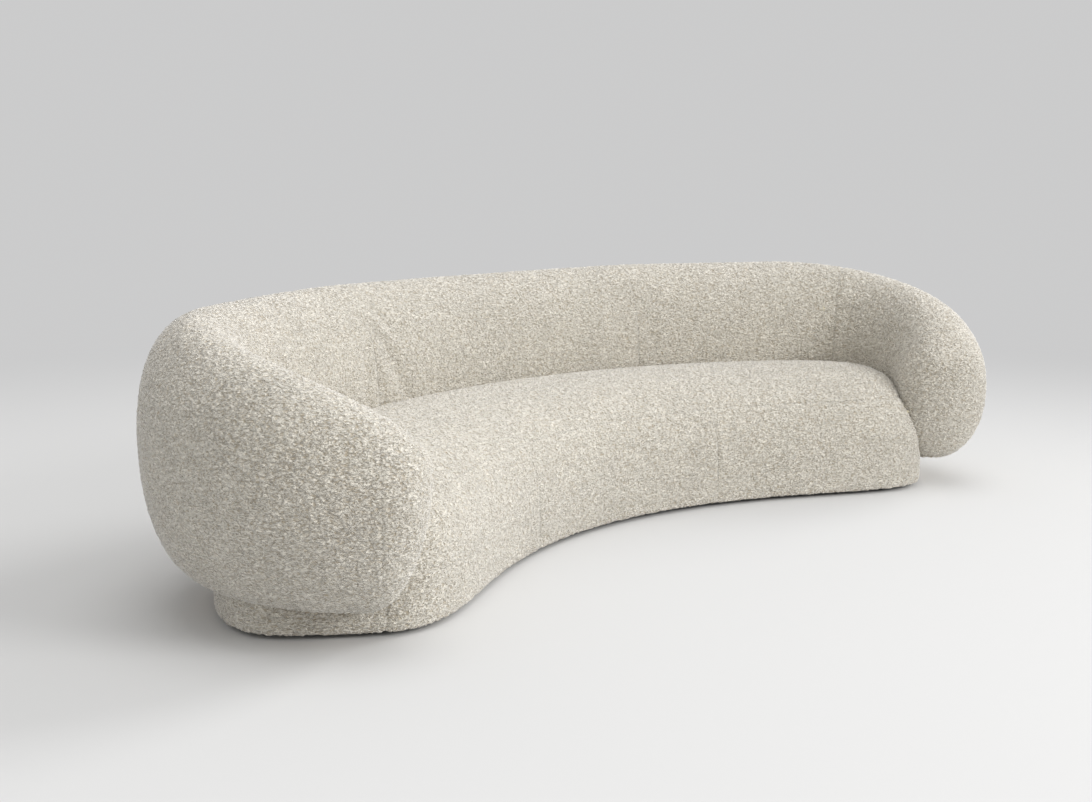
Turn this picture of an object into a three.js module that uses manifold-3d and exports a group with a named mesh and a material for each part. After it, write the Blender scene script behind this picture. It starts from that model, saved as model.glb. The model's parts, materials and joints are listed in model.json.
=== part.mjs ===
import * as THREE from 'three';
import { mergeVertices } from 'three/addons/utils/BufferGeometryUtils.js';
import Module from 'manifold-3d';

// A crescent sofa: a tight upholstered seat body on low glides, and a thick rounded back that wraps
// round it and ends in two large noses. Millimetres, +Z up. The seat faces -Y.
// Every soft layer and every frame piece follows one of two forms:
//   the back form, a rounded section carried along a plan path of two arcs and a short straight;
//   the seat form, a crescent outline with a rolled top edge and a light crown.

// Fits
const FIT_GAP = 0.3;             // between pieces that touch
const OVERRUN = 20;              // how far a cutting solid runs past what it cuts

// Layers
const CLOTH = 4;                 // boucle with its backing
const BOARD = 18;                // plywood of plates, rails and ribs
const BENT_PLY = 5;              // bent panels

// Back form: plan path, from the middle of the back to the tip of an arm
const BACK_ARC_RADIUS = 2126;
const BACK_ARC_DEG = 33.5;
const TURN_RADIUS = 394;
const TURN_DEG = 108.4;
const ARM_STRAIGHT = 133.5;

// Back form: section
const BACK_HEIGHT = 720;
const BACK_BELLY = 81;           // lowest point of the full oval
const BACK_FLAT_HEIGHT = 96;     // where the oval is cut flat for the cloth's turn-under
const BACK_INNER_HALF = 137;     // path to the face that the sitter leans on
const BACK_OUTER_HALF = 163;     // path to the outer face
const BACK_FULLNESS = 2.27;      // 2 is an ellipse, more is squarer
const BACK_RAKE_DEG = 2.2;
const RAKE_PIVOT_HEIGHT = 400;

// Back form: how the arm sinks and closes to a nose
const NOSE_HEIGHT = 407;
const ARM_TOP_FALL = 908;
const ARM_TOP_POWER = 1.68;
const NOSE_RISE = 145;
const NOSE_RISE_POWER = 1.92;
const NOSE_TAPER = 134;
const NOSE_TAPER_POWER = 2.2;

// Seams of the back's cover, as lengths along the path from its middle
const CENTRE_SEAM = 612;
const ARM_SEAM = 1470;
const NOSE_SEAM = 2010;
const TURN_UNDER = 22;           // cloth stapled under the bottom rail

// Foam of the back
const INNER_FOAM = 70;
const TOP_FOAM = 44;
const OUTER_FOAM = 30;
const EDGE_FOAM = 10;

// Frame of the back
const TOP_RAIL_HALF = 26;
const RAIL_SIDE_CLEARANCE = 1.5;
const RIB_WEB = 34;              // wood left round a rib's opening
const PANEL_HIGH_SHARE = 0.24;   // bent panels start and stop here, of the way from the section's
const PANEL_LOW_SHARE = 0.77;    // top down to the edge of its underside
const MOUNT_BLOCK_LENGTH = 90;
const MOUNT_BLOCK_PLACE = 800;   // along the path, either side of the middle one
const MOUNT_BLOCK_CLEARANCE = 4; // to the cloth's turn-unders

// Seat form
const SEAT_ARC_TIGHTENING = 229.5; // how much smaller the seat's arc is than one parallel to the back
const SEAT_HALF_LENGTH = 1450;   // along the seat's middle arc
const SEAT_DEPTH = 728;
const SEAT_REACH_BEHIND = 86;    // rear wall of the seat body behind the back's path
const SEAT_FLARE_SHARE = 0.027;  // how much deeper the seat form is at its ends
const SEAT_FRONT_POWER = 4.17;
const SEAT_REAR_POWER = 3.4;
const SEAT_HEIGHT = 380;
const SEAT_EDGE_RADIUS = 223;
const SEAT_CROWN = 9;
const SEAT_HEM_HEIGHT = 12;      // cloth's lowest fold above the floor

// Seams of the seat's covers
const SEAT_TOP_SEAM_HEIGHT = 305;
const FRONT_SEAM = 516;          // along the seat's middle arc
const END_SEAM_DEPTH = 146;      // in front of the middle arc, round at the tips
const BORDER_TURN_UNDER = 45;

// Foam and frame of the seat
const SEAT_FOAM = 130;
const BORDER_FOAM = 20;
const WEBBING = 2.5;
const WEBBING_WIDTH = 60;
const WEBBING_LAP = 45;          // strap end on the deck
const PANEL_JOINT_DEPTH = 0;     // the front panel meets the rear one on the middle arc
const DECK_FRONT_RAIL = 95;
const DECK_REAR_RAIL = 75;
const SEAT_RIB_COUNT = 6;
const SEAT_RIB_PITCH = 400;
const RIB_LEDGE = 42;            // plate and deck left beside a seat rib
const PLATE_FRONT_RIM = 170;
const PLATE_REAR_RIM = 200;
const WINDOW_CORNER = 30;
const RIB_SLOT_HALF_HEIGHT = 48;
const RIB_SLOT_HALF_LENGTH = 120;
const RIB_SLOT_FORWARD = 125;    // the slot's middle, in front of the seat's middle arc
const RIB_SLOT_POWER = 3;        // 2 is an ellipse, more is squarer
const DUST_CLOTH = 1;
const DUST_CLOTH_INSET = 25;

// Glides
const GLIDE_RADIUS = 30;
const GLIDE_EDGE = 3;
const STEM_RADIUS = 6;
const STEM_CLEARANCE = 1;
const GLIDE_FRONT_INSET = 109;   // from the seat's front wall to a glide's middle
const GLIDE_REAR_INSET = 129;    // and from its rear wall
const GLIDE_PITCH = 1130;        // along the middle arc
const GLIDES_A_ROW = 3;

// Fineness of the faceted forms
const LONGEST_FACET = 260;       // along the path
const MAX_TURN_DEG = 13;
const SECTION_STEPS = 16;
const NOSE_STEPS = 6;
const OUTLINE_MIDDLE_STEPS = 5;
const OUTLINE_TIP_STEPS = 7;
const OUTLINE_MIDDLE_SHARE = 0.62;
const EDGE_STEPS = 5;
const CROWN_SHARES = [0.45, 0.85];
const STATION_CLEARANCE = 4;     // between a piece's end and the next shared place
const HOLE_STEPS = 16;
const STEM_HOLE_STEPS = 8;
const ROUND_STEPS = 16;
const CORNER_STEPS = 3;

const RAD = Math.PI / 180;
const backArcLength = BACK_ARC_RADIUS * BACK_ARC_DEG * RAD;
const turnLength = TURN_RADIUS * TURN_DEG * RAD;
const pathHalf = backArcLength + turnLength + ARM_STRAIGHT;

const seatSetback = SEAT_DEPTH / 2 - SEAT_REACH_BEHIND;
const seatArcRadius = BACK_ARC_RADIUS - seatSetback - SEAT_ARC_TIGHTENING;

const halfGap = FIT_GAP / 2;
const clothInner = CLOTH + FIT_GAP;
const seatBoardInset = clothInner + BORDER_FOAM + FIT_GAP + BENT_PLY + FIT_GAP;
const plateUnderside = SEAT_HEM_HEIGHT + clothInner;
const plateTop = plateUnderside + BOARD;
const deckTop = SEAT_HEIGHT - clothInner - SEAT_FOAM;
const seatFoamUnderside = deckTop + FIT_GAP + WEBBING + FIT_GAP;
const railUnderside = BACK_FLAT_HEIGHT + clothInner;
const railTop = railUnderside + BOARD;
const dustClothUnderside = SEAT_HEM_HEIGHT - FIT_GAP - DUST_CLOTH;
const glideHeight = dustClothUnderside - FIT_GAP;
const panelRelief = (BOARD / 2) * Math.tan(MAX_TURN_DEG * RAD) + FIT_GAP;

const wasm = await Module();
wasm.setup();

// Materials
function material(color, roughness, metalness = 0) {
  return new THREE.MeshStandardMaterial({ color, roughness, metalness });
}
const boucle = material(0xd8d2c4, 0.95);
const foam = material(0xefe3bd, 0.9);
const plywood = material(0xc9a877, 0.6);
const webbing = material(0x2f3a36, 0.8);
const dustCloth = material(0x26262a, 0.9);
const plastic = material(0x1f1f21, 0.5);

const sofa = new THREE.Group();
function addPiece(name, geometry, pieceMaterial) {
  const mesh = new THREE.Mesh(geometry, pieceMaterial);
  mesh.name = name;
  sofa.add(mesh);
  return mesh;
}

// Mesh building: rows of points, each row one line across the form. The outward side of a quad is
// the direction along its row crossed with the direction from row to row.
class Faces {
  constructor() {
    this.positions = [];
  }
  triangle(a, b, c) {
    if (a.equals(b) || b.equals(c) || c.equals(a)) return;
    for (const point of [a, b, c]) this.positions.push(point.x, point.y, point.z);
  }
  quad(a, b, c, d) {
    this.triangle(a, b, c);
    this.triangle(a, c, d);
  }
  sheet(rows, closed = false, flipped = false) {
    for (let i = 0; i + 1 < rows.length; i++) {
      const count = rows[i].length;
      for (let j = 0; j + (closed ? 0 : 1) < count; j++) {
        const k = (j + 1) % count;
        const [a, b, c, d] = [rows[i][j], rows[i][k], rows[i + 1][k], rows[i + 1][j]];
        if (!flipped) this.quad(a, b, c, d);
        else {
          this.triangle(a, c, b);
          this.triangle(a, d, c);
        }
      }
    }
  }
  geometry() {
    const geometry = new THREE.BufferGeometry();
    geometry.setAttribute('position', new THREE.Float32BufferAttribute(this.positions, 3));
    const merged = mergeVertices(geometry);
    merged.computeVertexNormals();
    return merged;
  }
}

// A layer between two sheets of the same layout, closed along its edges. A closed sheet is a tube.
function layerGeometry(outer, inner, closed = false) {
  const faces = new Faces();
  faces.sheet(outer, closed);
  faces.sheet(inner, closed, true);
  const last = outer.length - 1;
  faces.sheet([inner[0], outer[0]], closed);
  faces.sheet([outer[last], inner[last]], closed);
  if (!closed) {
    const end = outer[0].length - 1;
    for (let i = 0; i < last; i++) {
      faces.quad(inner[i][0], outer[i][0], outer[i + 1][0], inner[i + 1][0]);
      faces.quad(outer[i][end], inner[i][end], inner[i + 1][end], outer[i + 1][end]);
    }
  }
  return faces.geometry();
}

// Joins and cuts
function toSolid(geometry) {
  const bare = new THREE.BufferGeometry();
  bare.setAttribute('position', geometry.getAttribute('position').clone());
  if (geometry.index) bare.setIndex(geometry.index.clone());
  const merged = mergeVertices(bare);
  return new wasm.Manifold(new wasm.Mesh({
    numProp: 3,
    vertProperties: new Float32Array(merged.getAttribute('position').array),
    triVerts: new Uint32Array(merged.index.array),
  }));
}
function toGeometry(solid) {
  const mesh = solid.getMesh();
  const geometry = new THREE.BufferGeometry();
  geometry.setAttribute('position', new THREE.BufferAttribute(mesh.vertProperties, 3));
  geometry.setIndex(new THREE.BufferAttribute(mesh.triVerts, 1));
  geometry.computeVertexNormals();
  return geometry;
}
function prism(points, low, high, holes = []) {
  const shape = new THREE.Shape(points);
  shape.holes = holes.map((hole) => new THREE.Path(hole));
  return new THREE.ExtrudeGeometry(shape, { depth: high - low, bevelEnabled: false }).translate(0, 0, low);
}
function middleOf(points) {
  return points.reduce((sum, point) => sum.add(point), new THREE.Vector3()).divideScalar(points.length);
}
function levelSlice(low, high) {
  const reach = 2 * pathHalf;
  const slice = new THREE.BoxGeometry(reach, reach, high - low);
  return toSolid(slice.translate(0, 0, (low + high) / 2));
}

// Back form
function pathAt(distance) {
  const side = Math.sign(distance) || 1;
  const along = Math.abs(distance);
  const first = Math.min(along, backArcLength) / BACK_ARC_RADIUS;
  const second = first + THREE.MathUtils.clamp(along - backArcLength, 0, turnLength) / TURN_RADIUS;
  const straight = Math.max(0, along - backArcLength - turnLength);
  const x = BACK_ARC_RADIUS * Math.sin(first) + TURN_RADIUS * (Math.sin(second) - Math.sin(first))
    + straight * Math.cos(second);
  const y = BACK_ARC_RADIUS * (Math.cos(first) - 1) + TURN_RADIUS * (Math.cos(second) - Math.cos(first))
    - straight * Math.sin(second);
  const outward = new THREE.Vector2(side * Math.sin(second), Math.cos(second));
  return { point: new THREE.Vector2(side * x, y), outward };
}
function rake(height) {
  return Math.tan(BACK_RAKE_DEG * RAD) * (height - RAKE_PIVOT_HEIGHT);
}
function placeOnPath(distance, across, height) {
  const { point, outward } = pathAt(distance);
  const spot = point.addScaledVector(outward, across + rake(height));
  return new THREE.Vector3(spot.x, spot.y, height);
}
function fall(distance, length, power) {
  const past = Math.max(0, Math.abs(distance) - (pathHalf - length)) / length;
  return Math.max(0, 1 - past ** power) ** (1 / power);
}
const squash = (value) => Math.sign(value) * Math.abs(value) ** (2 / BACK_FULLNESS);

// The section's points, from the outer edge of the flat underside over the top to its inner edge.
function sectionPoints(distance) {
  const rise = fall(distance, NOSE_RISE, NOSE_RISE_POWER);
  const taper = fall(distance, NOSE_TAPER, NOSE_TAPER_POWER);
  const top = NOSE_HEIGHT + (BACK_HEIGHT - NOSE_HEIGHT) * fall(distance, ARM_TOP_FALL, ARM_TOP_POWER);
  const belly = NOSE_HEIGHT - (NOSE_HEIGHT - BACK_BELLY) * rise;
  const underside = belly + (BACK_FLAT_HEIGHT - BACK_BELLY) * rise;
  const middle = (top + belly) / 2;
  const half = (top - belly) / 2;
  const start = -Math.asin(((middle - underside) / half) ** (BACK_FULLNESS / 2));
  const points = [];
  for (let i = 0; i <= SECTION_STEPS; i++) {
    const angle = start + (Math.PI - 2 * start) * (i / SECTION_STEPS);
    const reach = Math.cos(angle) > 0 ? BACK_OUTER_HALF : BACK_INNER_HALF;
    const across = reach * taper * squash(Math.cos(angle));
    points.push(new THREE.Vector2(across, middle + half * squash(Math.sin(angle))));
  }
  return points;
}
function withTurnUnder(points) {
  const first = points[0];
  const last = points[points.length - 1];
  const outerEnd = new THREE.Vector2(first.x - TURN_UNDER, first.y);
  const innerEnd = new THREE.Vector2(last.x + TURN_UNDER, last.y);
  return [outerEnd, ...points, innerEnd];
}
function closedUnder(points) {
  const first = points[0];
  const last = points[points.length - 1];
  return [...points, last.clone().lerp(first, 0.5)];
}

// Moves an open line of section points inward, each by its own depth, with mitred corners.
function inward(points, depthAt) {
  const normals = points.slice(1).map((point, i) => {
    const edge = point.clone().sub(points[i]).normalize();
    return new THREE.Vector2(edge.y, -edge.x);
  });
  return points.map((point, i) => {
    const before = normals[Math.max(0, i - 1)];
    const after = normals[Math.min(i, normals.length - 1)];
    const mitre = before.clone().add(after).divideScalar(1 + before.dot(after));
    return point.clone().addScaledVector(mitre, -depthAt(i));
  });
}
const easing = (share) => (1 - Math.cos(Math.PI * share)) / 2;

// Foam thickness at each section point: thin at the underside's edges, thickest on the inner face.
function foamDepth(index) {
  const stops = [EDGE_FOAM, OUTER_FOAM, TOP_FOAM, INNER_FOAM, EDGE_FOAM];
  const place = (index / SECTION_STEPS) * (stops.length - 1);
  const low = Math.min(Math.floor(place), stops.length - 2);
  return THREE.MathUtils.lerp(stops[low], stops[low + 1], easing(place - low));
}

// Lines of the back's layers at one place on the path, from the cloth inwards
function clothLines(distance) {
  const outer = withTurnUnder(sectionPoints(distance));
  return { outer, inner: inward(outer, () => CLOTH) };
}
function foamLine(distance, extraDepth) {
  const line = withTurnUnder(sectionPoints(distance));
  const depth = (i) => clothInner + extraDepth(THREE.MathUtils.clamp(i - 1, 0, SECTION_STEPS));
  return inward(line, depth).slice(1, -1);
}
const foamOuterLine = (distance) => foamLine(distance, () => 0);
const foamInnerLine = (distance) => foamLine(distance, foamDepth);
const panelOuterLine = (distance) => foamLine(distance, (i) => foamDepth(i) + FIT_GAP);
const panelInnerLine = (distance) => foamLine(distance, (i) => foamDepth(i) + FIT_GAP + BENT_PLY);
const ribLine = (distance) => foamLine(distance, (i) => foamDepth(i) + FIT_GAP + BENT_PLY + panelRelief);

function rowOn(distance, line) {
  return line.map((point) => placeOnPath(distance, point.x, point.y));
}

// Places along the path, close enough for its bends, which all layers share
function placesBetween(from, to) {
  const turnOf = (distance) => {
    const { outward } = pathAt(distance);
    return Math.atan2(outward.x, outward.y);
  };
  const turn = Math.abs(turnOf(to) - turnOf(from)) / (MAX_TURN_DEG * RAD);
  const steps = Math.max(1, Math.ceil(Math.max(turn, Math.abs(to - from) / LONGEST_FACET)));
  return Array.from({ length: steps + 1 }, (_, i) => THREE.MathUtils.lerp(from, to, i / steps));
}
const quarterRib = (CENTRE_SEAM + ARM_SEAM) / 2;
const armRib = (ARM_SEAM + NOSE_SEAM) / 2;
const formerPlace = NOSE_SEAM - BOARD / 2 - FIT_GAP;
const riseStart = pathHalf - NOSE_RISE;
const halfStops = [0, CENTRE_SEAM, quarterRib, ARM_SEAM, armRib, riseStart, NOSE_SEAM];
const halfPlaces = halfStops.slice(1).flatMap((stop, i) => placesBetween(halfStops[i], stop).slice(1));
const commonPlaces = [...[...halfPlaces].reverse().map((place) => -place), 0, ...halfPlaces];
function placesAlong(from, to) {
  const inside = (place) => place > from + STATION_CLEARANCE && place < to - STATION_CLEARANCE;
  return [from, ...commonPlaces.filter(inside), to];
}

// Nose: closed rings that shrink to the tip of the arm
function nosePlaces(from) {
  const side = Math.sign(from);
  const start = Math.abs(from);
  return Array.from({ length: NOSE_STEPS }, (_, i) => {
    const angle = (i / NOSE_STEPS) * (Math.PI / 2);
    return side * (start + (pathHalf - start) * Math.sin(angle));
  });
}
function ringsWithTips(places, tips) {
  const rings = places.map((place) => rowOn(place, closedUnder(sectionPoints(place))));
  const tipRing = (side) => rings[0].map(() => placeOnPath(side * pathHalf, 0, NOSE_HEIGHT));
  if (tips.includes(-1)) rings.unshift(tipRing(-1));
  if (tips.includes(1)) rings.push(tipRing(1));
  return rings;
}

// Moves closed rings along their own surface normals; positive goes inward. A ring at an open end
// stays in its plane.
function sunk(rings, depth) {
  const count = rings[0].length;
  const last = rings.length - 1;
  return rings.map((ring, i) => ring.map((point, j) => {
    const isTip = ring[0].equals(ring[1]);
    const normal = new THREE.Vector3();
    if (isTip) {
      const next = rings[i === 0 ? 1 : last - 1];
      normal.copy(point).sub(middleOf(next));
    } else {
      const across = ring[(j + 1) % count].clone().sub(ring[(j + count - 1) % count]);
      const along = rings[Math.min(i + 1, last)][j].clone().sub(rings[Math.max(i - 1, 0)][j]);
      normal.crossVectors(across, along);
      const span = ring[0].clone().sub(ring[SECTION_STEPS]);
      const pathDirection = new THREE.Vector3(span.y, -span.x, 0).normalize();
      if (i === 0 || i === last) normal.projectOnPlane(pathDirection);
    }
    return point.clone().addScaledVector(normal.normalize(), -depth);
  }));
}

// The whole back as one closed form, grown a little, for cutting what it rests against
function backForm(growth) {
  const rightNose = nosePlaces(NOSE_SEAM).slice(1);
  const leftNose = rightNose.map((place) => -place).reverse();
  const places = [...leftNose, ...placesAlong(-NOSE_SEAM, NOSE_SEAM), ...rightNose];
  const faces = new Faces();
  faces.sheet(sunk(ringsWithTips(places, [-1, 1]), -growth), true);
  return toSolid(faces.geometry());
}

// Covers of the back, one panel between each pair of seams
function addBackCover(name, from, to) {
  const places = placesAlong(from + halfGap, to - halfGap);
  const outer = places.map((place) => rowOn(place, clothLines(place).outer));
  const inner = places.map((place) => rowOn(place, clothLines(place).inner));
  addPiece(name, layerGeometry(outer, inner), boucle);
}
addBackCover('back_cover_centre', -CENTRE_SEAM, CENTRE_SEAM);
addBackCover('back_cover_right', CENTRE_SEAM, ARM_SEAM);
addBackCover('back_cover_left', -ARM_SEAM, -CENTRE_SEAM);
addBackCover('arm_cover_right', ARM_SEAM, NOSE_SEAM);
addBackCover('arm_cover_left', -NOSE_SEAM, -ARM_SEAM);

for (const [side, sideName] of [[-1, 'left'], [1, 'right']]) {
  const places = nosePlaces(side * (NOSE_SEAM + halfGap));
  if (side < 0) places.reverse();
  const rings = ringsWithTips(places, [side]);
  const cover = layerGeometry(rings, sunk(rings, CLOTH), true);
  addPiece(`nose_cover_${sideName}`, cover, boucle);

  // The nose foam fills the cap and ends flat against the arm's former.
  const body = sunk(rings, clothInner);
  const open = side < 0 ? body.length - 1 : 0;
  const middle = middleOf(body[open]);
  const hub = body[open].map(() => middle);
  const faces = new Faces();
  faces.sheet(body, true);
  faces.sheet(side < 0 ? [body[open], hub] : [hub, body[open]], true);
  addPiece(`nose_foam_${sideName}`, faces.geometry(), foam);
}

// Foam of the back, an inner and an outer slab that meet along the top
const topIndex = SECTION_STEPS / 2;
const foamPlaces = placesAlong(-NOSE_SEAM + FIT_GAP, NOSE_SEAM - FIT_GAP);
function addBackFoam(name, from, to) {
  const part = (line) => line.slice(from, to + 1);
  const outer = foamPlaces.map((place) => rowOn(place, part(foamOuterLine(place))));
  const inner = foamPlaces.map((place) => rowOn(place, part(foamInnerLine(place))));
  const across = (rows, i) => rows[i][0].clone().sub(rows[i][1]).setLength(FIT_GAP);
  if (from > 0) {
    outer.forEach((row, i) => row[0].sub(across(outer, i)));
    inner.forEach((row, i) => row[0].sub(across(inner, i)));
  }
  addPiece(name, layerGeometry(outer, inner), foam);
}
addBackFoam('back_outer_foam', 0, topIndex);
addBackFoam('back_inner_foam', topIndex, SECTION_STEPS);

// Bent panels of the back, glued to the ribs' edges
const panelPlaces = placesAlong(-formerPlace - BOARD / 2, formerPlace + BOARD / 2);
function addBackPanel(name, side) {
  const inPanel = (_, i) => {
    const share = side * ((i / SECTION_STEPS) * 2 - 1);
    return share >= PANEL_HIGH_SHARE && share <= PANEL_LOW_SHARE;
  };
  const outer = panelPlaces.map((place) => rowOn(place, panelOuterLine(place).filter(inPanel)));
  const inner = panelPlaces.map((place) => rowOn(place, panelInnerLine(place).filter(inPanel)));
  addPiece(name, layerGeometry(outer, inner), plywood);
}
addBackPanel('back_outer_panel', -1);
addBackPanel('back_inner_panel', 1);

// Rails of the back, flat strips along the path
function railStrip(fromPlace, toPlace, innerReach, outerReach, low) {
  const shift = rake(low + BOARD / 2);
  const side = (across, places) => places.map((place) => {
    const { point, outward } = pathAt(place);
    return point.addScaledVector(outward, across + shift);
  });
  const places = placesAlong(fromPlace, toPlace);
  const outline = [...side(-innerReach, places), ...side(outerReach, [...places].reverse())];
  return prism(outline, low, low + BOARD);
}
const middleFoam = foamInnerLine(0);
const railOuterReach = middleFoam[0].x - RAIL_SIDE_CLEARANCE;
const railInnerReach = -middleFoam[SECTION_STEPS].x - RAIL_SIDE_CLEARANCE;
const bottomRail = railStrip(-riseStart, riseStart, railInnerReach, railOuterReach, railUnderside);
addPiece('back_bottom_rail', bottomRail, plywood);

// Height of the upper half of a line of section points over a place across it
function lineHeightOver(line, across) {
  const isUpper = (point) => point.y > (BACK_HEIGHT + BACK_BELLY) / 2;
  const passes = (point, k) => k > 0 && line[k - 1].x >= across && point.x < across;
  const i = line.findIndex((point, k) => isUpper(point) && passes(point, k));
  const share = (line[i - 1].x - across) / (line[i - 1].x - line[i].x);
  return THREE.MathUtils.lerp(line[i - 1].y, line[i].y, share);
}
const railSpan = TOP_RAIL_HALF + RAIL_SIDE_CLEARANCE;
const edgeHeights = [railSpan, -railSpan].map((across) => lineHeightOver(middleFoam, across));
const topRailLow = Math.min(...edgeHeights) - FIT_GAP - BOARD;
const topRailEnd = quarterRib + BOARD / 2;
const topRail = railStrip(-topRailEnd, topRailEnd, TOP_RAIL_HALF, TOP_RAIL_HALF, topRailLow);
addPiece('back_top_rail', topRail, plywood);

// Ribs of the back: plates square to the path with a long opening, standing on the bottom rail
function clipLine(points, height, keepAbove) {
  const inside = (point) => (keepAbove ? point.y >= height : point.y <= height);
  return points.flatMap((point, i) => {
    const next = points[(i + 1) % points.length];
    const kept = inside(point) ? [point] : [];
    const share = (height - point.y) / (next.y - point.y);
    if (inside(point) !== inside(next)) kept.push(point.clone().lerp(next, share));
    return kept;
  });
}
function ovalPoints(centreX, centreY, halfWidth, halfHeight, power = 2, steps = HOLE_STEPS) {
  return Array.from({ length: steps }, (_, i) => {
    const angle = (i / steps) * 2 * Math.PI;
    const bend = (value) => Math.sign(value) * Math.abs(value) ** (2 / power);
    const x = centreX + halfWidth * bend(Math.cos(angle));
    return new THREE.Vector2(x, centreY + halfHeight * bend(Math.sin(angle)));
  });
}
function addBackRib(name, place) {
  const narrowerFace = Math.abs(place) + BOARD / 2;
  let outline = clipLine(ribLine(narrowerFace), railTop + FIT_GAP, true);
  if (Math.abs(place) < topRailEnd) outline = clipLine(outline, topRailLow - FIT_GAP, false);
  const extent = new THREE.Box2().setFromPoints(outline);
  const centre = extent.getCenter(new THREE.Vector2());
  const half = extent.getSize(new THREE.Vector2()).divideScalar(2);
  const opening = ovalPoints(centre.x, centre.y, half.x - RIB_WEB, half.y - RIB_WEB);
  const lean = (point) => new THREE.Vector2(point.x + rake(point.y), point.y);
  const plate = prism(outline.map(lean), -BOARD / 2, BOARD / 2, [opening.map(lean)]);
  const rib = addPiece(name, plate, plywood);
  const { point, outward } = pathAt(place);
  const xAxis = new THREE.Vector3(outward.x, outward.y, 0);
  const yAxis = new THREE.Vector3(0, 0, 1);
  const basis = new THREE.Matrix4().makeBasis(xAxis, yAxis, xAxis.clone().cross(yAxis));
  rib.quaternion.setFromRotationMatrix(basis);
  rib.position.set(point.x, point.y, 0);
}
const ribPlaces = [
  ['inner', CENTRE_SEAM],
  ['middle', quarterRib],
  ['outer', ARM_SEAM],
  ['arm', armRib],
  ['former', formerPlace],
];
addBackRib('back_rib_centre', 0);
for (const [ribName, place] of ribPlaces) {
  addBackRib(`back_rib_${ribName}_left`, -place);
  addBackRib(`back_rib_${ribName}_right`, place);
}

// Seat form, on its own middle arc: along it and across it, positive across is towards the back
function onSeat(along, across) {
  const angle = along / seatArcRadius;
  const radius = seatArcRadius + across;
  const y = radius * Math.cos(angle) - seatSetback - seatArcRadius;
  return new THREE.Vector2(radius * Math.sin(angle), y);
}
function outlineShares() {
  const power = (SEAT_FRONT_POWER + SEAT_REAR_POWER) / 2;
  const tipAngle = Math.acos(OUTLINE_MIDDLE_SHARE ** (power / 2));
  const shares = [];
  for (let i = 0; i <= OUTLINE_MIDDLE_STEPS; i++) {
    shares.push((OUTLINE_MIDDLE_SHARE * i) / OUTLINE_MIDDLE_STEPS);
  }
  for (let i = OUTLINE_TIP_STEPS - 1; i >= 0; i--) {
    shares.push(Math.cos((tipAngle * i) / OUTLINE_TIP_STEPS) ** (2 / power));
  }
  return shares;
}
// Goes round from the right tip over the rear to the left tip and back along the front.
function seatOutline(inset) {
  const shares = outlineShares();
  const halfWay = [...shares].reverse().concat(shares.slice(1).map((share) => -share));
  const spot = (share, side) => {
    const power = side > 0 ? SEAT_REAR_POWER : SEAT_FRONT_POWER;
    const breadth = (1 - Math.abs(share) ** power) ** (1 / power);
    const half = (SEAT_DEPTH / 2) * (1 + SEAT_FLARE_SHARE * share * share) - inset;
    return onSeat((SEAT_HALF_LENGTH - inset) * share, side * half * breadth);
  };
  const rear = halfWay.map((share) => spot(share, 1));
  const front = [...halfWay].reverse().slice(1, -1).map((share) => spot(share, -1));
  return [...rear, ...front];
}
function seatForm(inset, underside) {
  const edge = SEAT_EDGE_RADIUS - inset;
  const level = (rowInset, height) => seatOutline(rowInset).map((p) => new THREE.Vector3(p.x, p.y, height));
  const rows = [level(inset, underside)];
  for (let i = 0; i <= EDGE_STEPS; i++) {
    const angle = (i / EDGE_STEPS) * (Math.PI / 2);
    const height = SEAT_HEIGHT - SEAT_EDGE_RADIUS + edge * Math.sin(angle);
    rows.push(level(inset + edge * (1 - Math.cos(angle)), height));
  }
  for (const share of CROWN_SHARES) {
    const reach = (SEAT_DEPTH / 2 - SEAT_EDGE_RADIUS) * share;
    rows.push(level(SEAT_EDGE_RADIUS + reach, SEAT_HEIGHT - inset + SEAT_CROWN * (1 - (1 - share) ** 2)));
  }
  const faces = new Faces();
  faces.sheet(rows, true);
  const count = rows[0].length;
  const top = rows[rows.length - 1];
  const bottom = rows[0];
  for (let k = 0; k < count / 2; k++) {
    const [m, n] = [(count - k) % count, count - k - 1];
    faces.quad(top[m], top[k], top[k + 1], top[n]);
    faces.quad(bottom[k], bottom[m], bottom[n], bottom[k + 1]);
  }
  return toSolid(faces.geometry());
}
// A patch of the crescent between two places along the seat and two across it
function seatPatch(fromAlong, toAlong, fromAcross, toAcross, low, high) {
  const places = [fromAlong];
  const firstStep = Math.floor(fromAlong / LONGEST_FACET) + 1;
  for (let step = firstStep; step * LONGEST_FACET < toAlong; step++) {
    places.push(step * LONGEST_FACET);
  }
  places.push(toAlong);
  const side = (across) => places.map((along) => onSeat(along, across));
  return prism([...side(fromAcross), ...side(toAcross).reverse()], low, high);
}

const backCutter = backForm(FIT_GAP);
const clothForm = seatForm(0, SEAT_HEM_HEIGHT);
const underCloth = seatForm(CLOTH, SEAT_HEM_HEIGHT + CLOTH);
const foamForm = seatForm(clothInner, plateUnderside);
const panelForm = seatForm(clothInner + BORDER_FOAM + FIT_GAP, plateUnderside);
const underFoam = seatForm(clothInner + BORDER_FOAM, plateUnderside - OVERRUN);
const underPanel = seatForm(seatBoardInset - FIT_GAP, plateUnderside - OVERRUN);
const boardForm = seatForm(seatBoardInset, plateUnderside);

// Covers of the seat body
const bottomOpening = toSolid(prism(seatOutline(BORDER_TURN_UNDER), 0, SEAT_HEM_HEIGHT + OVERRUN));
const seatCloth = clothForm.subtract(underCloth).subtract(bottomOpening).subtract(backCutter);
const above = levelSlice(SEAT_TOP_SEAM_HEIGHT + halfGap, SEAT_HEIGHT + SEAT_CROWN + OVERRUN);
const below = levelSlice(0, SEAT_TOP_SEAM_HEIGHT - halfGap);
addPiece('seat_top_cover', toGeometry(seatCloth.intersect(above)), boucle);
const borderCloth = seatCloth.intersect(below);
const farAlong = SEAT_HALF_LENGTH + OVERRUN;

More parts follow.
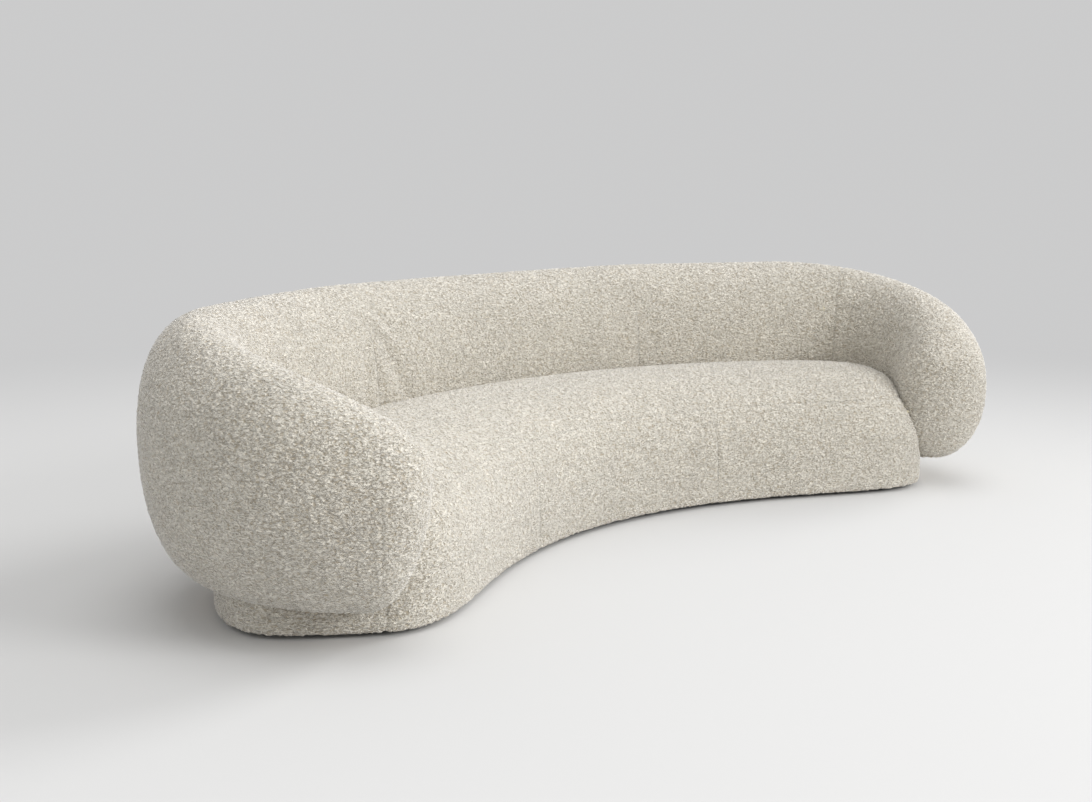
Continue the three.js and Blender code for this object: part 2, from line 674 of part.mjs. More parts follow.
// The part of a ring that lies in front of a joint between two places along the seat, or behind it
function inFront(solid, jointDepth, fromAlong = -farAlong, toAlong = farAlong) {
  const patch = seatPatch(fromAlong, toAlong, -SEAT_DEPTH, -jointDepth - halfGap, 0, SEAT_HEIGHT);
  return toGeometry(solid.intersect(toSolid(patch)));
}
function behind(solid, jointDepth) {
  const patch = seatPatch(-farAlong, farAlong, -jointDepth + halfGap, SEAT_DEPTH, 0, SEAT_HEIGHT);
  return toGeometry(solid.intersect(toSolid(patch)));
}
const frontSeams = [-farAlong, -FRONT_SEAM, FRONT_SEAM, farAlong];
['left', 'centre', 'right'].forEach((place, i) => {
  const from = frontSeams[i] + halfGap;
  const to = frontSeams[i + 1] - halfGap;
  const cover = inFront(borderCloth, END_SEAM_DEPTH, from, to);
  addPiece(`front_border_cover_${place}`, cover, boucle);
});
addPiece('rear_border_cover', behind(borderCloth, END_SEAM_DEPTH), boucle);

// Foam of the seat body
const seatFoamSpace = levelSlice(seatFoamUnderside, SEAT_HEIGHT + SEAT_CROWN);
const seatBlock = foamForm.intersect(seatFoamSpace).subtract(backCutter);
addPiece('seat_foam', toGeometry(seatBlock), foam);
const borderSpace = levelSlice(0, seatFoamUnderside - FIT_GAP);
const borderBand = foamForm.subtract(underFoam).intersect(borderSpace).subtract(backCutter);
addPiece('front_border_foam', inFront(borderBand, END_SEAM_DEPTH), foam);
addPiece('rear_border_foam', behind(borderBand, END_SEAM_DEPTH), foam);

// Frame of the seat body
const bentRing = panelForm.subtract(underPanel).intersect(levelSlice(0, deckTop)).subtract(backCutter);
addPiece('front_panel', inFront(bentRing, PANEL_JOINT_DEPTH), plywood);
addPiece('rear_panel', behind(bentRing, PANEL_JOINT_DEPTH), plywood);

const boardHalf = SEAT_DEPTH / 2 - seatBoardInset;
function evenPlaces(count, pitch) {
  return Array.from({ length: count }, (_, i) => (i - (count - 1) / 2) * pitch);
}
const seatRibPlaces = evenPlaces(SEAT_RIB_COUNT, SEAT_RIB_PITCH);

// Base plate with a window in each bay between ribs. A window's outline is four quarter rounds.
function windowPoints(fromAlong, toAlong, fromAcross, toAcross) {
  const [left, right] = [fromAlong + WINDOW_CORNER, toAlong - WINDOW_CORNER];
  const [front, rear] = [fromAcross + WINDOW_CORNER, toAcross - WINDOW_CORNER];
  const centres = [[right, front], [right, rear], [left, rear], [left, front]];
  return centres.flatMap(([along, across], quarter) => {
    const turns = Array.from({ length: CORNER_STEPS + 1 }, (_, i) => quarter - 1 + i / CORNER_STEPS);
    return turns.map((turn) => {
      const angle = turn * (Math.PI / 2);
      return onSeat(along + WINDOW_CORNER * Math.cos(angle), across + WINDOW_CORNER * Math.sin(angle));
    });
  });
}
const bayMargin = BOARD / 2 + RIB_LEDGE;
const bays = seatRibPlaces.slice(1).map((place, i) => [seatRibPlaces[i] + bayMargin, place - bayMargin]);
const plateFront = PLATE_FRONT_RIM - boardHalf;
const plateRear = boardHalf - PLATE_REAR_RIM;
const windows = bays.map(([from, to]) => windowPoints(from, to, plateFront, plateRear));
addPiece('base_plate', prism(seatOutline(seatBoardInset), plateUnderside, plateTop, windows), plywood);

// Seat deck: a crescent frame under the foam, with a window in each bay for the webbing
const backFaceAcross = seatSetback - BACK_INNER_HALF;
const deckFront = DECK_FRONT_RAIL - boardHalf;
const deckRear = backFaceAcross - DECK_REAR_RAIL;
let deck = boardForm.intersect(levelSlice(deckTop - BOARD, deckTop)).subtract(backCutter);
for (const [from, to] of bays) {
  const bayWindow = prism(windowPoints(from, to, deckFront, deckRear), 0, SEAT_HEIGHT);
  deck = deck.subtract(toSolid(bayWindow));
}
addPiece('seat_deck', toGeometry(deck), plywood);

// Seat ribs: full height in front, cut to a cradle under the back
const ribSpace = levelSlice(plateTop + FIT_GAP, deckTop - BOARD - FIT_GAP);
const ribForm = boardForm.intersect(ribSpace).subtract(backCutter);
const ribReach = SEAT_DEPTH / 2;
const ribSheet = [[-ribReach, 0], [ribReach, 0], [ribReach, SEAT_HEIGHT], [-ribReach, SEAT_HEIGHT]];
const ribSheetPoints = ribSheet.map(([x, y]) => new THREE.Vector2(x, y));
const slotHeight = (plateTop + deckTop - BOARD) / 2;
const slotHalves = [RIB_SLOT_HALF_LENGTH, RIB_SLOT_HALF_HEIGHT];
const slot = ovalPoints(-RIB_SLOT_FORWARD, slotHeight, ...slotHalves, RIB_SLOT_POWER);
seatRibPlaces.forEach((place, i) => {
  const plate = prism(ribSheetPoints, -BOARD / 2, BOARD / 2, [slot]);
  const angle = place / seatArcRadius;
  const outward = new THREE.Vector3(Math.sin(angle), Math.cos(angle), 0);
  const up = new THREE.Vector3(0, 0, 1);
  const spot = onSeat(place, 0);
  const turn = new THREE.Matrix4().makeBasis(outward, up, outward.clone().cross(up));
  plate.applyMatrix4(turn.setPosition(spot.x, spot.y, 0));
  addPiece(`seat_rib_${i + 1}`, toGeometry(toSolid(plate).intersect(ribForm)), plywood);
});

// Webbing straps, front to rear across the deck's windows
evenPlaces(SEAT_RIB_COUNT - 1, SEAT_RIB_PITCH).forEach((place, i) => {
  const from = deckFront - WEBBING_LAP;
  const to = deckRear + WEBBING_LAP;
  const strap = new THREE.BoxGeometry(WEBBING_WIDTH, to - from, WEBBING);
  const mesh = addPiece(`webbing_strap_${i + 1}`, strap, webbing);
  const spot = onSeat(place, (from + to) / 2);
  mesh.position.set(spot.x, spot.y, deckTop + FIT_GAP + WEBBING / 2);
  mesh.rotation.z = -place / seatArcRadius;
});

// Mounting blocks stand on the base plate and reach the bottom rail between the cloth's turn-unders.
const slitOuter = sectionPoints(0)[0].x - TURN_UNDER - MOUNT_BLOCK_CLEARANCE;
const slitInner = sectionPoints(0)[SECTION_STEPS].x + TURN_UNDER + MOUNT_BLOCK_CLEARANCE;
const blockPlaces = [['left', -MOUNT_BLOCK_PLACE], ['centre', 0], ['right', MOUNT_BLOCK_PLACE]];
for (const [blockName, place] of blockPlaces) {
  const low = plateTop + FIT_GAP;
  const high = railUnderside - FIT_GAP;
  const block = new THREE.BoxGeometry(MOUNT_BLOCK_LENGTH, slitOuter - slitInner, high - low);
  const mesh = addPiece(`mount_block_${blockName}`, block, plywood);
  const { point, outward } = pathAt(place);
  const spot = point.addScaledVector(outward, (slitOuter + slitInner) / 2 + rake(railUnderside));
  mesh.position.set(spot.x, spot.y, (low + high) / 2);
  mesh.rotation.z = -Math.atan2(outward.x, outward.y);
}

// Glides, their stems through the dust cloth up to the base plate
const glidePlaces = evenPlaces(GLIDES_A_ROW, GLIDE_PITCH).flatMap((along) => [
  [along, GLIDE_FRONT_INSET - SEAT_DEPTH / 2],
  [along, SEAT_DEPTH / 2 - GLIDE_REAR_INSET],
]);
const glideProfile = [
  [0, 0], [GLIDE_RADIUS - GLIDE_EDGE, 0], [GLIDE_RADIUS, GLIDE_EDGE], [GLIDE_RADIUS, glideHeight],
  [STEM_RADIUS, glideHeight], [STEM_RADIUS, plateUnderside - FIT_GAP], [0, plateUnderside - FIT_GAP],
].map(([x, y]) => new THREE.Vector2(x, y));
glidePlaces.forEach(([along, across], i) => {
  const glide = new THREE.LatheGeometry(glideProfile, ROUND_STEPS).rotateX(Math.PI / 2);
  const mesh = addPiece(`glide_${i + 1}`, glide, plastic);
  const spot = onSeat(along, across);
  mesh.position.set(spot.x, spot.y, 0);
});

// Dust cloth over the bottom opening, pierced by the glides' stems
const stemHoles = glidePlaces.map(([along, across]) => {
  const spot = onSeat(along, across);
  const radius = STEM_RADIUS + STEM_CLEARANCE;
  return ovalPoints(spot.x, spot.y, radius, radius, 2, STEM_HOLE_STEPS);
});
const dustClothTop = dustClothUnderside + DUST_CLOTH;
const dustSheet = prism(seatOutline(DUST_CLOTH_INSET), dustClothUnderside, dustClothTop, stemHoles);
addPiece('dust_cover', dustSheet, dustCloth);

// The origin lies on the floor under the middle of the sofa's length and depth.
const bounds = new THREE.Box3().setFromObject(sofa);
sofa.position.set(-(bounds.min.x + bounds.max.x) / 2, -(bounds.min.y + bounds.max.y) / 2, 0);

export default sofa;
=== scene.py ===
import json
import math

import bmesh
import bpy
import numpy as np
from bpy.props import FloatProperty, FloatVectorProperty, PointerProperty
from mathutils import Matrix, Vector, kdtree, noise


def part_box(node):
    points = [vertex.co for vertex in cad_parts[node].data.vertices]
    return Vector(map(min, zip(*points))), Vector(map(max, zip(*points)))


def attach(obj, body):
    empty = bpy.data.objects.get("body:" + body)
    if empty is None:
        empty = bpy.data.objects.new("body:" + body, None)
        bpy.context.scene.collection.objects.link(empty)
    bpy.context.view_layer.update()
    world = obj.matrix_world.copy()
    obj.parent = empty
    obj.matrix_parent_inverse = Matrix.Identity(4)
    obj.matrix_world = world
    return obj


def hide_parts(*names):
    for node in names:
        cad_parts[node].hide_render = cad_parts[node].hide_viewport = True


bl_info = {
    "name": "Crescent Sofa",
    "version": (1, 0, 0),
    "blender": (4, 5, 0),
    "location": "View3D > Sidebar > Sofa",
    "description": "Upholsters the crescent sofa's frame in boucle and sets its studio",
    "category": "Object",
}

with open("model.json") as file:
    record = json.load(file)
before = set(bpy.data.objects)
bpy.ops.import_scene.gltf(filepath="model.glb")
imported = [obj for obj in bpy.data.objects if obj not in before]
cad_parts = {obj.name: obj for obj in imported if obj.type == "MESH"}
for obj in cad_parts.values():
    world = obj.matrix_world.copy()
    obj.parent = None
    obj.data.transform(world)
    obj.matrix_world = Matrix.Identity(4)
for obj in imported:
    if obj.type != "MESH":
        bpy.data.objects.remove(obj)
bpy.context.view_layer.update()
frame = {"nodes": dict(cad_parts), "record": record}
NODES = frame["nodes"]
BODY = "root"


def length(name, description, default):
    """A size that a user can change, in metres."""
    return FloatProperty(
        name=name, description=description, default=default, unit="LENGTH", subtype="DISTANCE"
    )


def angle(name, description, default):
    """An angle that a user can change, in degrees on screen and radians here."""
    return FloatProperty(name=name, description=description, default=math.radians(default), subtype="ANGLE")


def number(name, description, default):
    """A plain number that a user can change."""
    return FloatProperty(name=name, description=description, default=default)


def colour(name, description, default):
    """A colour that a user can change."""
    return FloatVectorProperty(
        name=name, description=description, default=default, size=4, subtype="COLOR", min=0.0, max=1.0
    )


class SofaBackSizes(bpy.types.PropertyGroup):
    """The rounded back: its plan path, its section, and how the arms sink to their noses."""

    arc_radius: length("Arc radius", "Plan radius of the back's long arc", 2.126)
    arc_angle: angle("Arc angle", "Half of the long arc", 33.5)
    turn_radius: length("Turn radius", "Plan radius where the back turns into an arm", 0.394)
    turn_angle: angle("Turn angle", "How far the back turns into the arm", 108.4)
    arm_straight: length("Arm straight", "Straight end of the path", 0.1335)
    height: length("Height", "Top of the back", 0.720)
    belly: length("Belly", "Lowest point of the full oval", 0.081)
    flat_height: length("Flat height", "Height of the flat underside", 0.096)
    inner_half: length("Inner half", "Path to the inner face", 0.137)
    outer_half: length("Outer half", "Path to the outer face", 0.163)
    fullness: number("Fullness", "2 is an ellipse, more is squarer", 2.27)
    rake: angle("Rake", "Lean of the section", 2.2)
    rake_pivot: length("Rake pivot", "Height that the lean turns about", 0.400)
    nose_height: length("Nose height", "Height of the arm's tip", 0.407)
    top_fall: length("Top fall", "Length over which the arm's top sinks", 0.908)
    top_power: number("Top power", "Curve of that fall", 1.68)
    nose_rise: length("Nose rise", "Length over which the underside rises", 0.145)
    nose_rise_power: number("Nose rise power", "Curve of that rise", 1.92)
    nose_taper: length("Nose taper", "Length over which the arm closes", 0.134)
    nose_taper_power: number("Nose taper power", "Curve of that closing", 2.2)
    centre_seam: length("Centre seam", "Along the path from the middle", 0.612)
    arm_seam: length("Arm seam", "Along the path from the middle", 1.470)
    nose_seam: length("Nose seam", "Along the path from the middle", 2.010)
    turn_under: length("Turn under", "Cloth stapled under the bottom rail", 0.022)


class SofaSeatSizes(bpy.types.PropertyGroup):
    """The crescent seat body: its outline, its rolled edge, its crown and its seams."""

    arc_radius: length("Arc radius", "Plan radius of the seat's middle arc", 1.6185)
    half_length: length("Half length", "Along the middle arc from its middle", 1.450)
    setback: length("Setback", "Middle arc in front of the back's path", 0.278)
    depth: length("Depth", "Front to rear", 0.728)
    flare: number("Flare", "How much deeper the form is at its ends", 0.027)
    front_power: number("Front power", "Squareness of the outline in front", 4.17)
    rear_power: number("Rear power", "Squareness of the outline at the rear", 3.4)
    height: length("Height", "Seat without its crown", 0.380)
    edge_radius: length("Edge radius", "Rolled top edge", 0.223)
    crown: length("Crown", "Rise of the seat's middle", 0.009)
    hem_height: length("Hem height", "Cloth's lowest fold above the floor", 0.012)
    top_seam_height: length("Top seam height", "Seam between top and border", 0.305)
    front_seam: length("Front seam", "Seams of the front border, along the middle arc", 0.516)
    end_seam_depth: length("End seam depth", "Seam at the tips, in front of the middle arc", 0.146)
    turn_under: length("Turn under", "Cloth folded under the hem", 0.045)
    glide_inset: length("Glide inset", "Rear wall to the rear glides' middles", 0.129)


class SofaPadSizes(bpy.types.PropertyGroup):
    """How the cloth lies over its foam."""

    cloth: length("Cloth", "Boucle with its backing", 0.004)
    cell: length("Cell", "Cell of the cloth before it is refined", 0.018)
    pressure: number("Pressure", "Pressure of the foam under the cloth", 4.0)
    swell: length("Swell", "Most that the foam may push the cloth out", 0.007)
    seam_depth: length("Seam depth", "How deep a seam pulls in", 0.0025)
    seam_width: length("Seam width", "How far from a seam the cloth is drawn in", 0.006)
    # Painted shade: how far either side of a seam the cloth's colour is darkened.
    seam_shade_width: length("Stitch width", "How far from a seam it looks darker", 0.003)
    curl_size: length("Curl size", "Size of a boucle curl", 0.009)
    curl_height: length("Curl height", "Height of a boucle curl", 0.004)
    curl_flatness: number("Curl flatness", "How much lower than wide a curl is", 1.35)
    tuck_depth: length("Tuck depth", "How far the seat rolls in where it meets the back", 0.009)
    tuck_width: length("Tuck width", "How wide that roll is", 0.012)


class SofaColours(bpy.types.PropertyGroup):
    """The finishes' colours."""

    loop: colour("Loop", "Top of the boucle's curls", (0.92, 0.87, 0.76, 1.0))
    # Painted sheen: a pale tone that the boucle's colour is lightened toward at its edges, where the surface
    # turns away from view.
    painted_rim_sheen: colour("Fuzz", "Fine fibres that show where the boucle turns away", (1.0, 0.96, 0.89, 1.0))
    # Painted shade: the dark tone of the hollows between the boucle's curls, where the curls shade each
    # other.
    gap: colour("Gap", "Between the boucle's curls", (0.47, 0.405, 0.305, 1.0))
    foam: colour("Foam", "Cut foam", (0.86, 0.78, 0.55, 1.0))
    wood_light: colour("Light wood", "Early wood of the birch", (0.68, 0.50, 0.31, 1.0))
    wood_dark: colour("Dark wood", "Late wood of the birch", (0.50, 0.33, 0.18, 1.0))
    webbing: colour("Webbing", "Elastic webbing", (0.035, 0.045, 0.04, 1.0))
    dust_cloth: colour("Dust cloth", "Cloth under the seat body", (0.02, 0.02, 0.022, 1.0))
    plastic: colour("Plastic", "Glides", (0.018, 0.018, 0.019, 1.0))
    floor: colour("Floor", "Studio floor", (0.657, 0.656, 0.653, 1.0))
    wall: colour("Wall", "Studio wall", (0.60, 0.60, 0.602, 1.0))


def back_sizes():
    return bpy.context.scene.sofa_back


def seat_sizes():
    return bpy.context.scene.sofa_seat


def pad_sizes():
    return bpy.context.scene.sofa_pad


def sofa_colours():
    return bpy.context.scene.sofa_colours


# Plan of the back

FLAT_POWER = 2
LEAST_HALF_HEIGHT = 1e-4
PAST_THE_TIP = -1.0


def path_origin_y():
    """The back's path starts here: the rear middle glide is a known way in front of it."""
    sizes = seat_sizes()
    low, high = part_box("glide_4")
    glide_across = sizes.depth / 2 - sizes.glide_inset
    return (low.y + high.y) / 2 - glide_across + sizes.setback


def path_half():
    """The path's length from its middle to an arm's tip."""
    sizes = back_sizes()
    return sizes.arc_radius * sizes.arc_angle + sizes.turn_radius * sizes.turn_angle + sizes.arm_straight


def path_at(distance):
    """A point on the path and the direction that points out of the sofa there."""
    sizes = back_sizes()
    side = math.copysign(1.0, distance)
    along = abs(distance)
    arc = sizes.arc_radius * sizes.arc_angle
    turn = sizes.turn_radius * sizes.turn_angle
    first = min(along, arc) / sizes.arc_radius
    second = first + min(max(along - arc, 0), turn) / sizes.turn_radius
    straight = max(0, along - arc - turn)
    x = sizes.arc_radius * math.sin(first) + sizes.turn_radius * (math.sin(second) - math.sin(first))
    y = sizes.arc_radius * (math.cos(first) - 1) + sizes.turn_radius * (math.cos(second) - math.cos(first))
    x += straight * math.cos(second)
    y += path_origin_y() - straight * math.sin(second)
    return side * x, y, side * math.sin(second), math.cos(second)


def place_on_path(points):
    """For points of the sofa, how far along the path they lie and how far outside it."""
    sizes = back_sizes()
    side = np.where(points[:, 0] < 0, -1.0, 1.0)
    x = np.abs(points[:, 0])
    y = points[:, 1] - path_origin_y()
    arc = sizes.arc_angle
    end = sizes.arc_angle + sizes.turn_angle
    arc_turn = np.arctan2(x, y + sizes.arc_radius)
    arc_length = sizes.arc_radius * arc
    turn_x = (sizes.arc_radius - sizes.turn_radius) * math.sin(arc)
    turn_y = (sizes.arc_radius - sizes.turn_radius) * math.cos(arc) - sizes.arc_radius
    turn_angle = np.arctan2(x - turn_x, y - turn_y)
    turn_angle = np.where(turn_angle < -math.pi / 2, turn_angle + 2 * math.pi, turn_angle)
    tip_x = turn_x + sizes.turn_radius * math.sin(end)
    tip_y = turn_y + sizes.turn_radius * math.cos(end)
    forward = (x - tip_x) * math.cos(end) - (y - tip_y) * math.sin(end)
    along = np.where(
        arc_turn <= arc,
        arc_turn * sizes.arc_radius,
        np.where(
            turn_angle <= end,
            arc_length + (turn_angle - arc) * sizes.turn_radius,
            arc_length + sizes.turn_angle * sizes.turn_radius + forward,
        ),
    )
    across = np.where(
        arc_turn <= arc,
        np.hypot(x, y + sizes.arc_radius) - sizes.arc_radius,
        np.where(
            turn_angle <= end,
            np.hypot(x - turn_x, y - turn_y) - sizes.turn_radius,
            (x - tip_x) * math.sin(end) + (y - tip_y) * math.cos(end),
        ),
    )
    return side * along, across


def rake_at(height):
    """How far outwards the section's lean moves it at a height."""
    sizes = back_sizes()
    return math.tan(sizes.rake) * (height - sizes.rake_pivot)


def fall(distance, reach, power):
    """1 along the path, curving to 0 over the last stretch before the arm's tip."""
    past = np.clip((np.abs(distance) - (path_half() - reach)) / reach, 0, 1)
    return (1 - past**power) ** (1 / power)


def flat_share(distance):
    """1 where the underside is all flat, easing to 0 on the arms' noses."""
    sizes = back_sizes()
    reach = path_half() - sizes.arm_seam
    least = fall(sizes.nose_seam, reach, FLAT_POWER)
    return np.clip((fall(distance, reach, FLAT_POWER) - least) / (1 - least), 0, 1)


def section_levels(distance):
    """Top, lowest point of the oval, flat underside and taper of the section there."""
    sizes = back_sizes()
    rise = fall(distance, sizes.nose_rise, sizes.nose_rise_power)
    taper = fall(distance, sizes.nose_taper, sizes.nose_taper_power)
    top_share = fall(distance, sizes.top_fall, sizes.top_power)
    top = sizes.nose_height + (sizes.height - sizes.nose_height) * top_share
    belly = sizes.nose_height - (sizes.nose_height - sizes.belly) * rise
    underside = belly + (sizes.flat_height - sizes.belly) * flat_share(distance)
    return top, belly, underside, taper


def depth_in_back(points):
    """How deep points lie inside the back form. It is negative outside, and nearly a distance."""
    sizes = back_sizes()
    along, across = place_on_path(points)
    top, belly, _, taper = section_levels(along)
    middle = (top + belly) / 2
    half = np.maximum((top - belly) / 2, LEAST_HALF_HEIGHT)
    level = np.clip(np.abs(points[:, 2] - middle) / half, 0, 1)
    offset = across - rake_at(points[:, 2])
    reach = np.where(offset > 0, sizes.outer_half, sizes.inner_half) * taper
    width = reach * (1 - level**sizes.fullness) ** (1 / sizes.fullness)
    return np.where(np.abs(along) < path_half(), width - np.abs(offset), PAST_THE_TIP)


# Cloth bodies

HELD = "held"
PANEL = "panel"
INNER = "inner"
CURL = "curl"
SEAM = "seam"
HIDDEN = -1
TINY = 1e-9
NO_LENGTH = 1e-12
JOIN_DISTANCE = 1e-6
CUTS = 4
FAN_MERGE = 0.0014
RELAX_ROUNDS = 8
CLOTH_FRAMES = 20
CLOTH_SETTINGS = {
    "quality": 4,
    "mass": 0.3,
    "tension_stiffness": 40,
    "compression_stiffness": 40,
    "shear_stiffness": 20,
    "bending_stiffness": 5,
    "use_pressure": True,
}
CURL_SEED = 7
WANDER = 0.45
WANDER_SCALE = 0.7
CURL_TOP = 1.25
CURL_FALL = 1.5
CURL_DRIFT = 0.25
CURL_DRIFT_SCALE = 0.45
CURL_MIDDLE = 0.5
SEAM_CALM = 0.5


def even_steps(start, end, cell):
    """Even steps from start to end, each at most a cell long."""
    count = max(1, math.ceil(abs(end - start) / cell - TINY))
    return np.linspace(start, end, count + 1)


def placed_grid(points, panels, held):
    """A grid with its points put in place and joined where they meet, its panels and held points marked."""
    rows, columns = points.shape[:2]
    body = bmesh.new()
    held_layer = body.verts.layers.int.new(HELD)
    panel_layer = body.faces.layers.int.new(PANEL)
    bmesh.ops.create_grid(body, x_segments=columns - 1, y_segments=rows - 1, size=1.0)
    for vert, place, hold in zip(body.verts, points.reshape(-1, 3).tolist(), held.ravel().tolist()):
        vert.co = place
        vert[held_layer] = int(hold)
    for face, panel in zip(body.faces, panels.ravel().tolist()):
        face[panel_layer] = panel
        face.smooth = True
    bmesh.ops.remove_doubles(body, verts=body.verts, dist=JOIN_DISTANCE)
    body.verts.index_update()
    return body


def link_mesh(name, body):
    """Makes a mesh object at the origin from a bmesh."""
    mesh = bpy.data.meshes.new(name)
    body.to_mesh(mesh)
    piece = bpy.data.objects.new(name, mesh)
    bpy.context.scene.collection.objects.link(piece)
    return piece


def values_of(data, key, kind, width=1):
    """A value of every element of a mesh, as rows where it has more than one number."""
    values = np.zeros(len(data) * width, kind)
    data.foreach_get(key, values)
    return values.reshape(-1, width) if width > 1 else values


def inflate(body):
    """Presses the cloth out over its foam in a short simulation. It stays where it is sewn or stapled."""
    pad = pad_sizes()
    trial = link_mesh("cloth_trial", body)
    held_layer = body.verts.layers.int[HELD]
    group = trial.vertex_groups.new(name=HELD)
    group.add([vert.index for vert in body.verts if vert[held_layer]], 1.0, "REPLACE")
    cloth = trial.modifiers.new("Cloth", "CLOTH")
    settings = cloth.settings
    for key, value in CLOTH_SETTINGS.items():
        setattr(settings, key, value)
    settings.uniform_pressure_force = pad.pressure
    settings.vertex_group_mass = HELD
    settings.effector_weights.gravity = 0
    cloth.collision_settings.use_collision = False
    for step in range(1, CLOTH_FRAMES + 1):
        bpy.context.scene.frame_set(step)
    shaped = trial.evaluated_get(bpy.context.evaluated_depsgraph_get())
    shifts = values_of(shaped.data.vertices, "co", float, 3) - values_of(trial.data.vertices, "co", float, 3)
    bpy.context.scene.frame_set(1)
    bpy.data.objects.remove(trial)
    reach = np.linalg.norm(shifts, axis=1, keepdims=True)
    shifts *= pad.swell / np.sqrt(pad.swell**2 + reach**2)
    for vert, shift in zip(body.verts, shifts.tolist()):
        vert.co += Vector(shift)


def relax(points, edges, fixed, rounds):
    """Eases points towards their neighbours, except the fixed ones."""
    count = np.bincount(edges.ravel(), minlength=len(points))[:, None]
    free = ~fixed & (count[:, 0] > 0)
    for _ in range(rounds):
        total = np.zeros_like(points)
        for axis in range(3):
            total[:, axis] += np.bincount(edges[:, 0], points[edges[:, 1], axis], len(points))
            total[:, axis] += np.bincount(edges[:, 1], points[edges[:, 0], axis], len(points))
        points[free] = (points[free] + total[free] / count[free]) / 2


def curl_heights(points):
    """Boucle's curls at these points: about 1 on top of a curl and 0 in the gaps."""
    pad = pad_sizes()
    noise.seed_set(CURL_SEED)
    spots = points / pad.curl_size * (1.0, 1.0, pad.curl_flatness)
    heights = np.empty(len(points))
    for i, spot in enumerate(spots.tolist()):
        place = Vector(spot)
        bent = place + noise.noise_vector(place * WANDER_SCALE) * WANDER
        near = (1 + noise.noise(bent, noise_basis="VORONOI_F1")) / 2
        drift = CURL_DRIFT * noise.noise(place * CURL_DRIFT_SCALE)
        heights[i] = CURL_TOP - CURL_FALL * near + drift
    return np.clip(heights, 0, 1)


def surface_normals(places, triangles):
    """Unit normals of a surface's points."""
    first, second, third = (places[triangles[:, corner]] for corner in range(3))
    sides = np.cross(second - first, third - first)
    out = np.zeros_like(places)
    for corner in range(3):
        for axis in range(3):
            out[:, axis] += np.bincount(triangles[:, corner], sides[:, axis], len(out))
    return out / np.maximum(np.linalg.norm(out, axis=1, keepdims=True), NO_LENGTH)


def distances_to(spots, places):
    """How far each place is from the nearest spot."""
    tree = kdtree.KDTree(len(spots))
    for i, spot in enumerate(spots.tolist()):
        tree.insert(spot, i)
    tree.balance()
    return np.array([tree.find(place)[2] for place in places.tolist()])


def panel_piece(name, body, panel):
    """One panel of the cloth as a closed piece: a finely cut outer skin and a plain inner skin."""
    work = body.copy()
    panel_layer = work.faces.layers.int[PANEL]
    others = [face for face in work.faces if face[panel_layer] != panel]
    bmesh.ops.delete(work, geom=others, context="FACES")
    for edge in work.edges:
        edge.smooth = not edge.is_boundary
    inner_layer = work.verts.layers.int.new(INNER)
    work.normal_update()
    skin = work.verts[:] + work.edges[:] + work.faces[:]
    made = bmesh.ops.solidify(work, geom=skin, thickness=pad_sizes().cloth)
    for element in made["geom"]:
        if isinstance(element, bmesh.types.BMVert):
            element[inner_layer] = 1
    outer = [edge for edge in work.edges if not edge.verts[0][inner_layer] and not edge.verts[1][inner_layer]]
    bmesh.ops.subdivide_edges(work, edges=outer, cuts=CUTS, use_grid_fill=True)
    bmesh.ops.remove_doubles(work, verts=work.verts, dist=FAN_MERGE)
    piece = link_mesh(name, work)
    work.free()
    return piece


def cover_piece(name, body, panel, finish):
    """One panel as a closed cover, with curls on its outer skin that lie lower along its seams."""
    pad = pad_sizes()
    piece = panel_piece(name, body, panel)
    mesh = piece.data
    mesh.calc_loop_triangles()
    inner = values_of(mesh.attributes[INNER].data, "value", np.int32).astype(bool)
    sharp = values_of(mesh.attributes["sharp_edge"].data, "value", bool)
    ends = values_of(mesh.edges, "vertices", np.int32, 2)
    triangles = values_of(mesh.loop_triangles, "vertices", np.int32, 3)
    triangles = triangles[~inner[triangles].any(axis=1)]
    in_skin = ~inner[ends].any(axis=1)
    boundary = np.zeros(len(inner), bool)
    boundary[ends[~in_skin].ravel()] = True
    boundary[ends[sharp & in_skin].ravel()] = True
    boundary &= ~inner

    places = values_of(mesh.vertices, "co", float, 3)
    relax(places, ends[in_skin], inner | boundary, RELAX_ROUNDS)
    out = surface_normals(places, triangles)

    skin = np.flatnonzero(~inner)
    distance = distances_to(places[boundary], places[skin])
    near_seam = np.exp(-((distance / pad.seam_width) ** 2))
    heights = curl_heights(places[skin])
    curls = (heights - CURL_MIDDLE) * pad.curl_height * (1 - SEAM_CALM * near_seam)
    push = curls - pad.seam_depth * near_seam
    places[skin] += out[skin] * push[:, None]
    mesh.vertices.foreach_set("co", places.ravel())
    # Painted shade along the seams, stored as an attribute that the finish darkens the colour by.
    seam_shade = np.exp(-((distance / pad.seam_shade_width) ** 2))
    for key, values in ((CURL, heights), (SEAM, seam_shade)):
        spread = np.zeros(len(mesh.vertices), np.float32)
        spread[skin] = values
        mesh.attributes.new(key, "FLOAT", "POINT").data.foreach_set("value", spread)
    for key in (INNER, HELD, PANEL):
        mesh.attributes.remove(mesh.attributes[key])
    mesh.update()
    finish_piece(piece, finish, [name.removesuffix("_cloth")])


def finish_piece(piece, finish, nodes):
    """Gives a padded piece its finish and body and hides the solids it stands for."""
    piece.data.materials.clear()
    piece.data.materials.append(finish)
    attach(piece, BODY)
    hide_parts(*nodes)


# Back covers

OVAL_STEPS = 84
FLAT_STEPS = 8
OVAL_SAMPLES = 361
FOLDS_ACROSS = 3
NOSE_CELL_SHARE = 0.8
BACK_PANELS = [
    "nose_cover_left",
    "arm_cover_left",
    "back_cover_left",
    "back_cover_centre",
    "back_cover_right",
    "arm_cover_right",
    "nose_cover_right",
]


def resample(points, count):
    """The same open line in equal steps."""
    steps = np.linalg.norm(np.diff(points, axis=0), axis=1)
    total = np.concatenate([[0], np.cumsum(steps)])
    wanted = np.linspace(0, total[-1], count + 1)
    return np.stack([np.interp(wanted, total, points[:, i]) for i in range(points.shape[1])], axis=1)


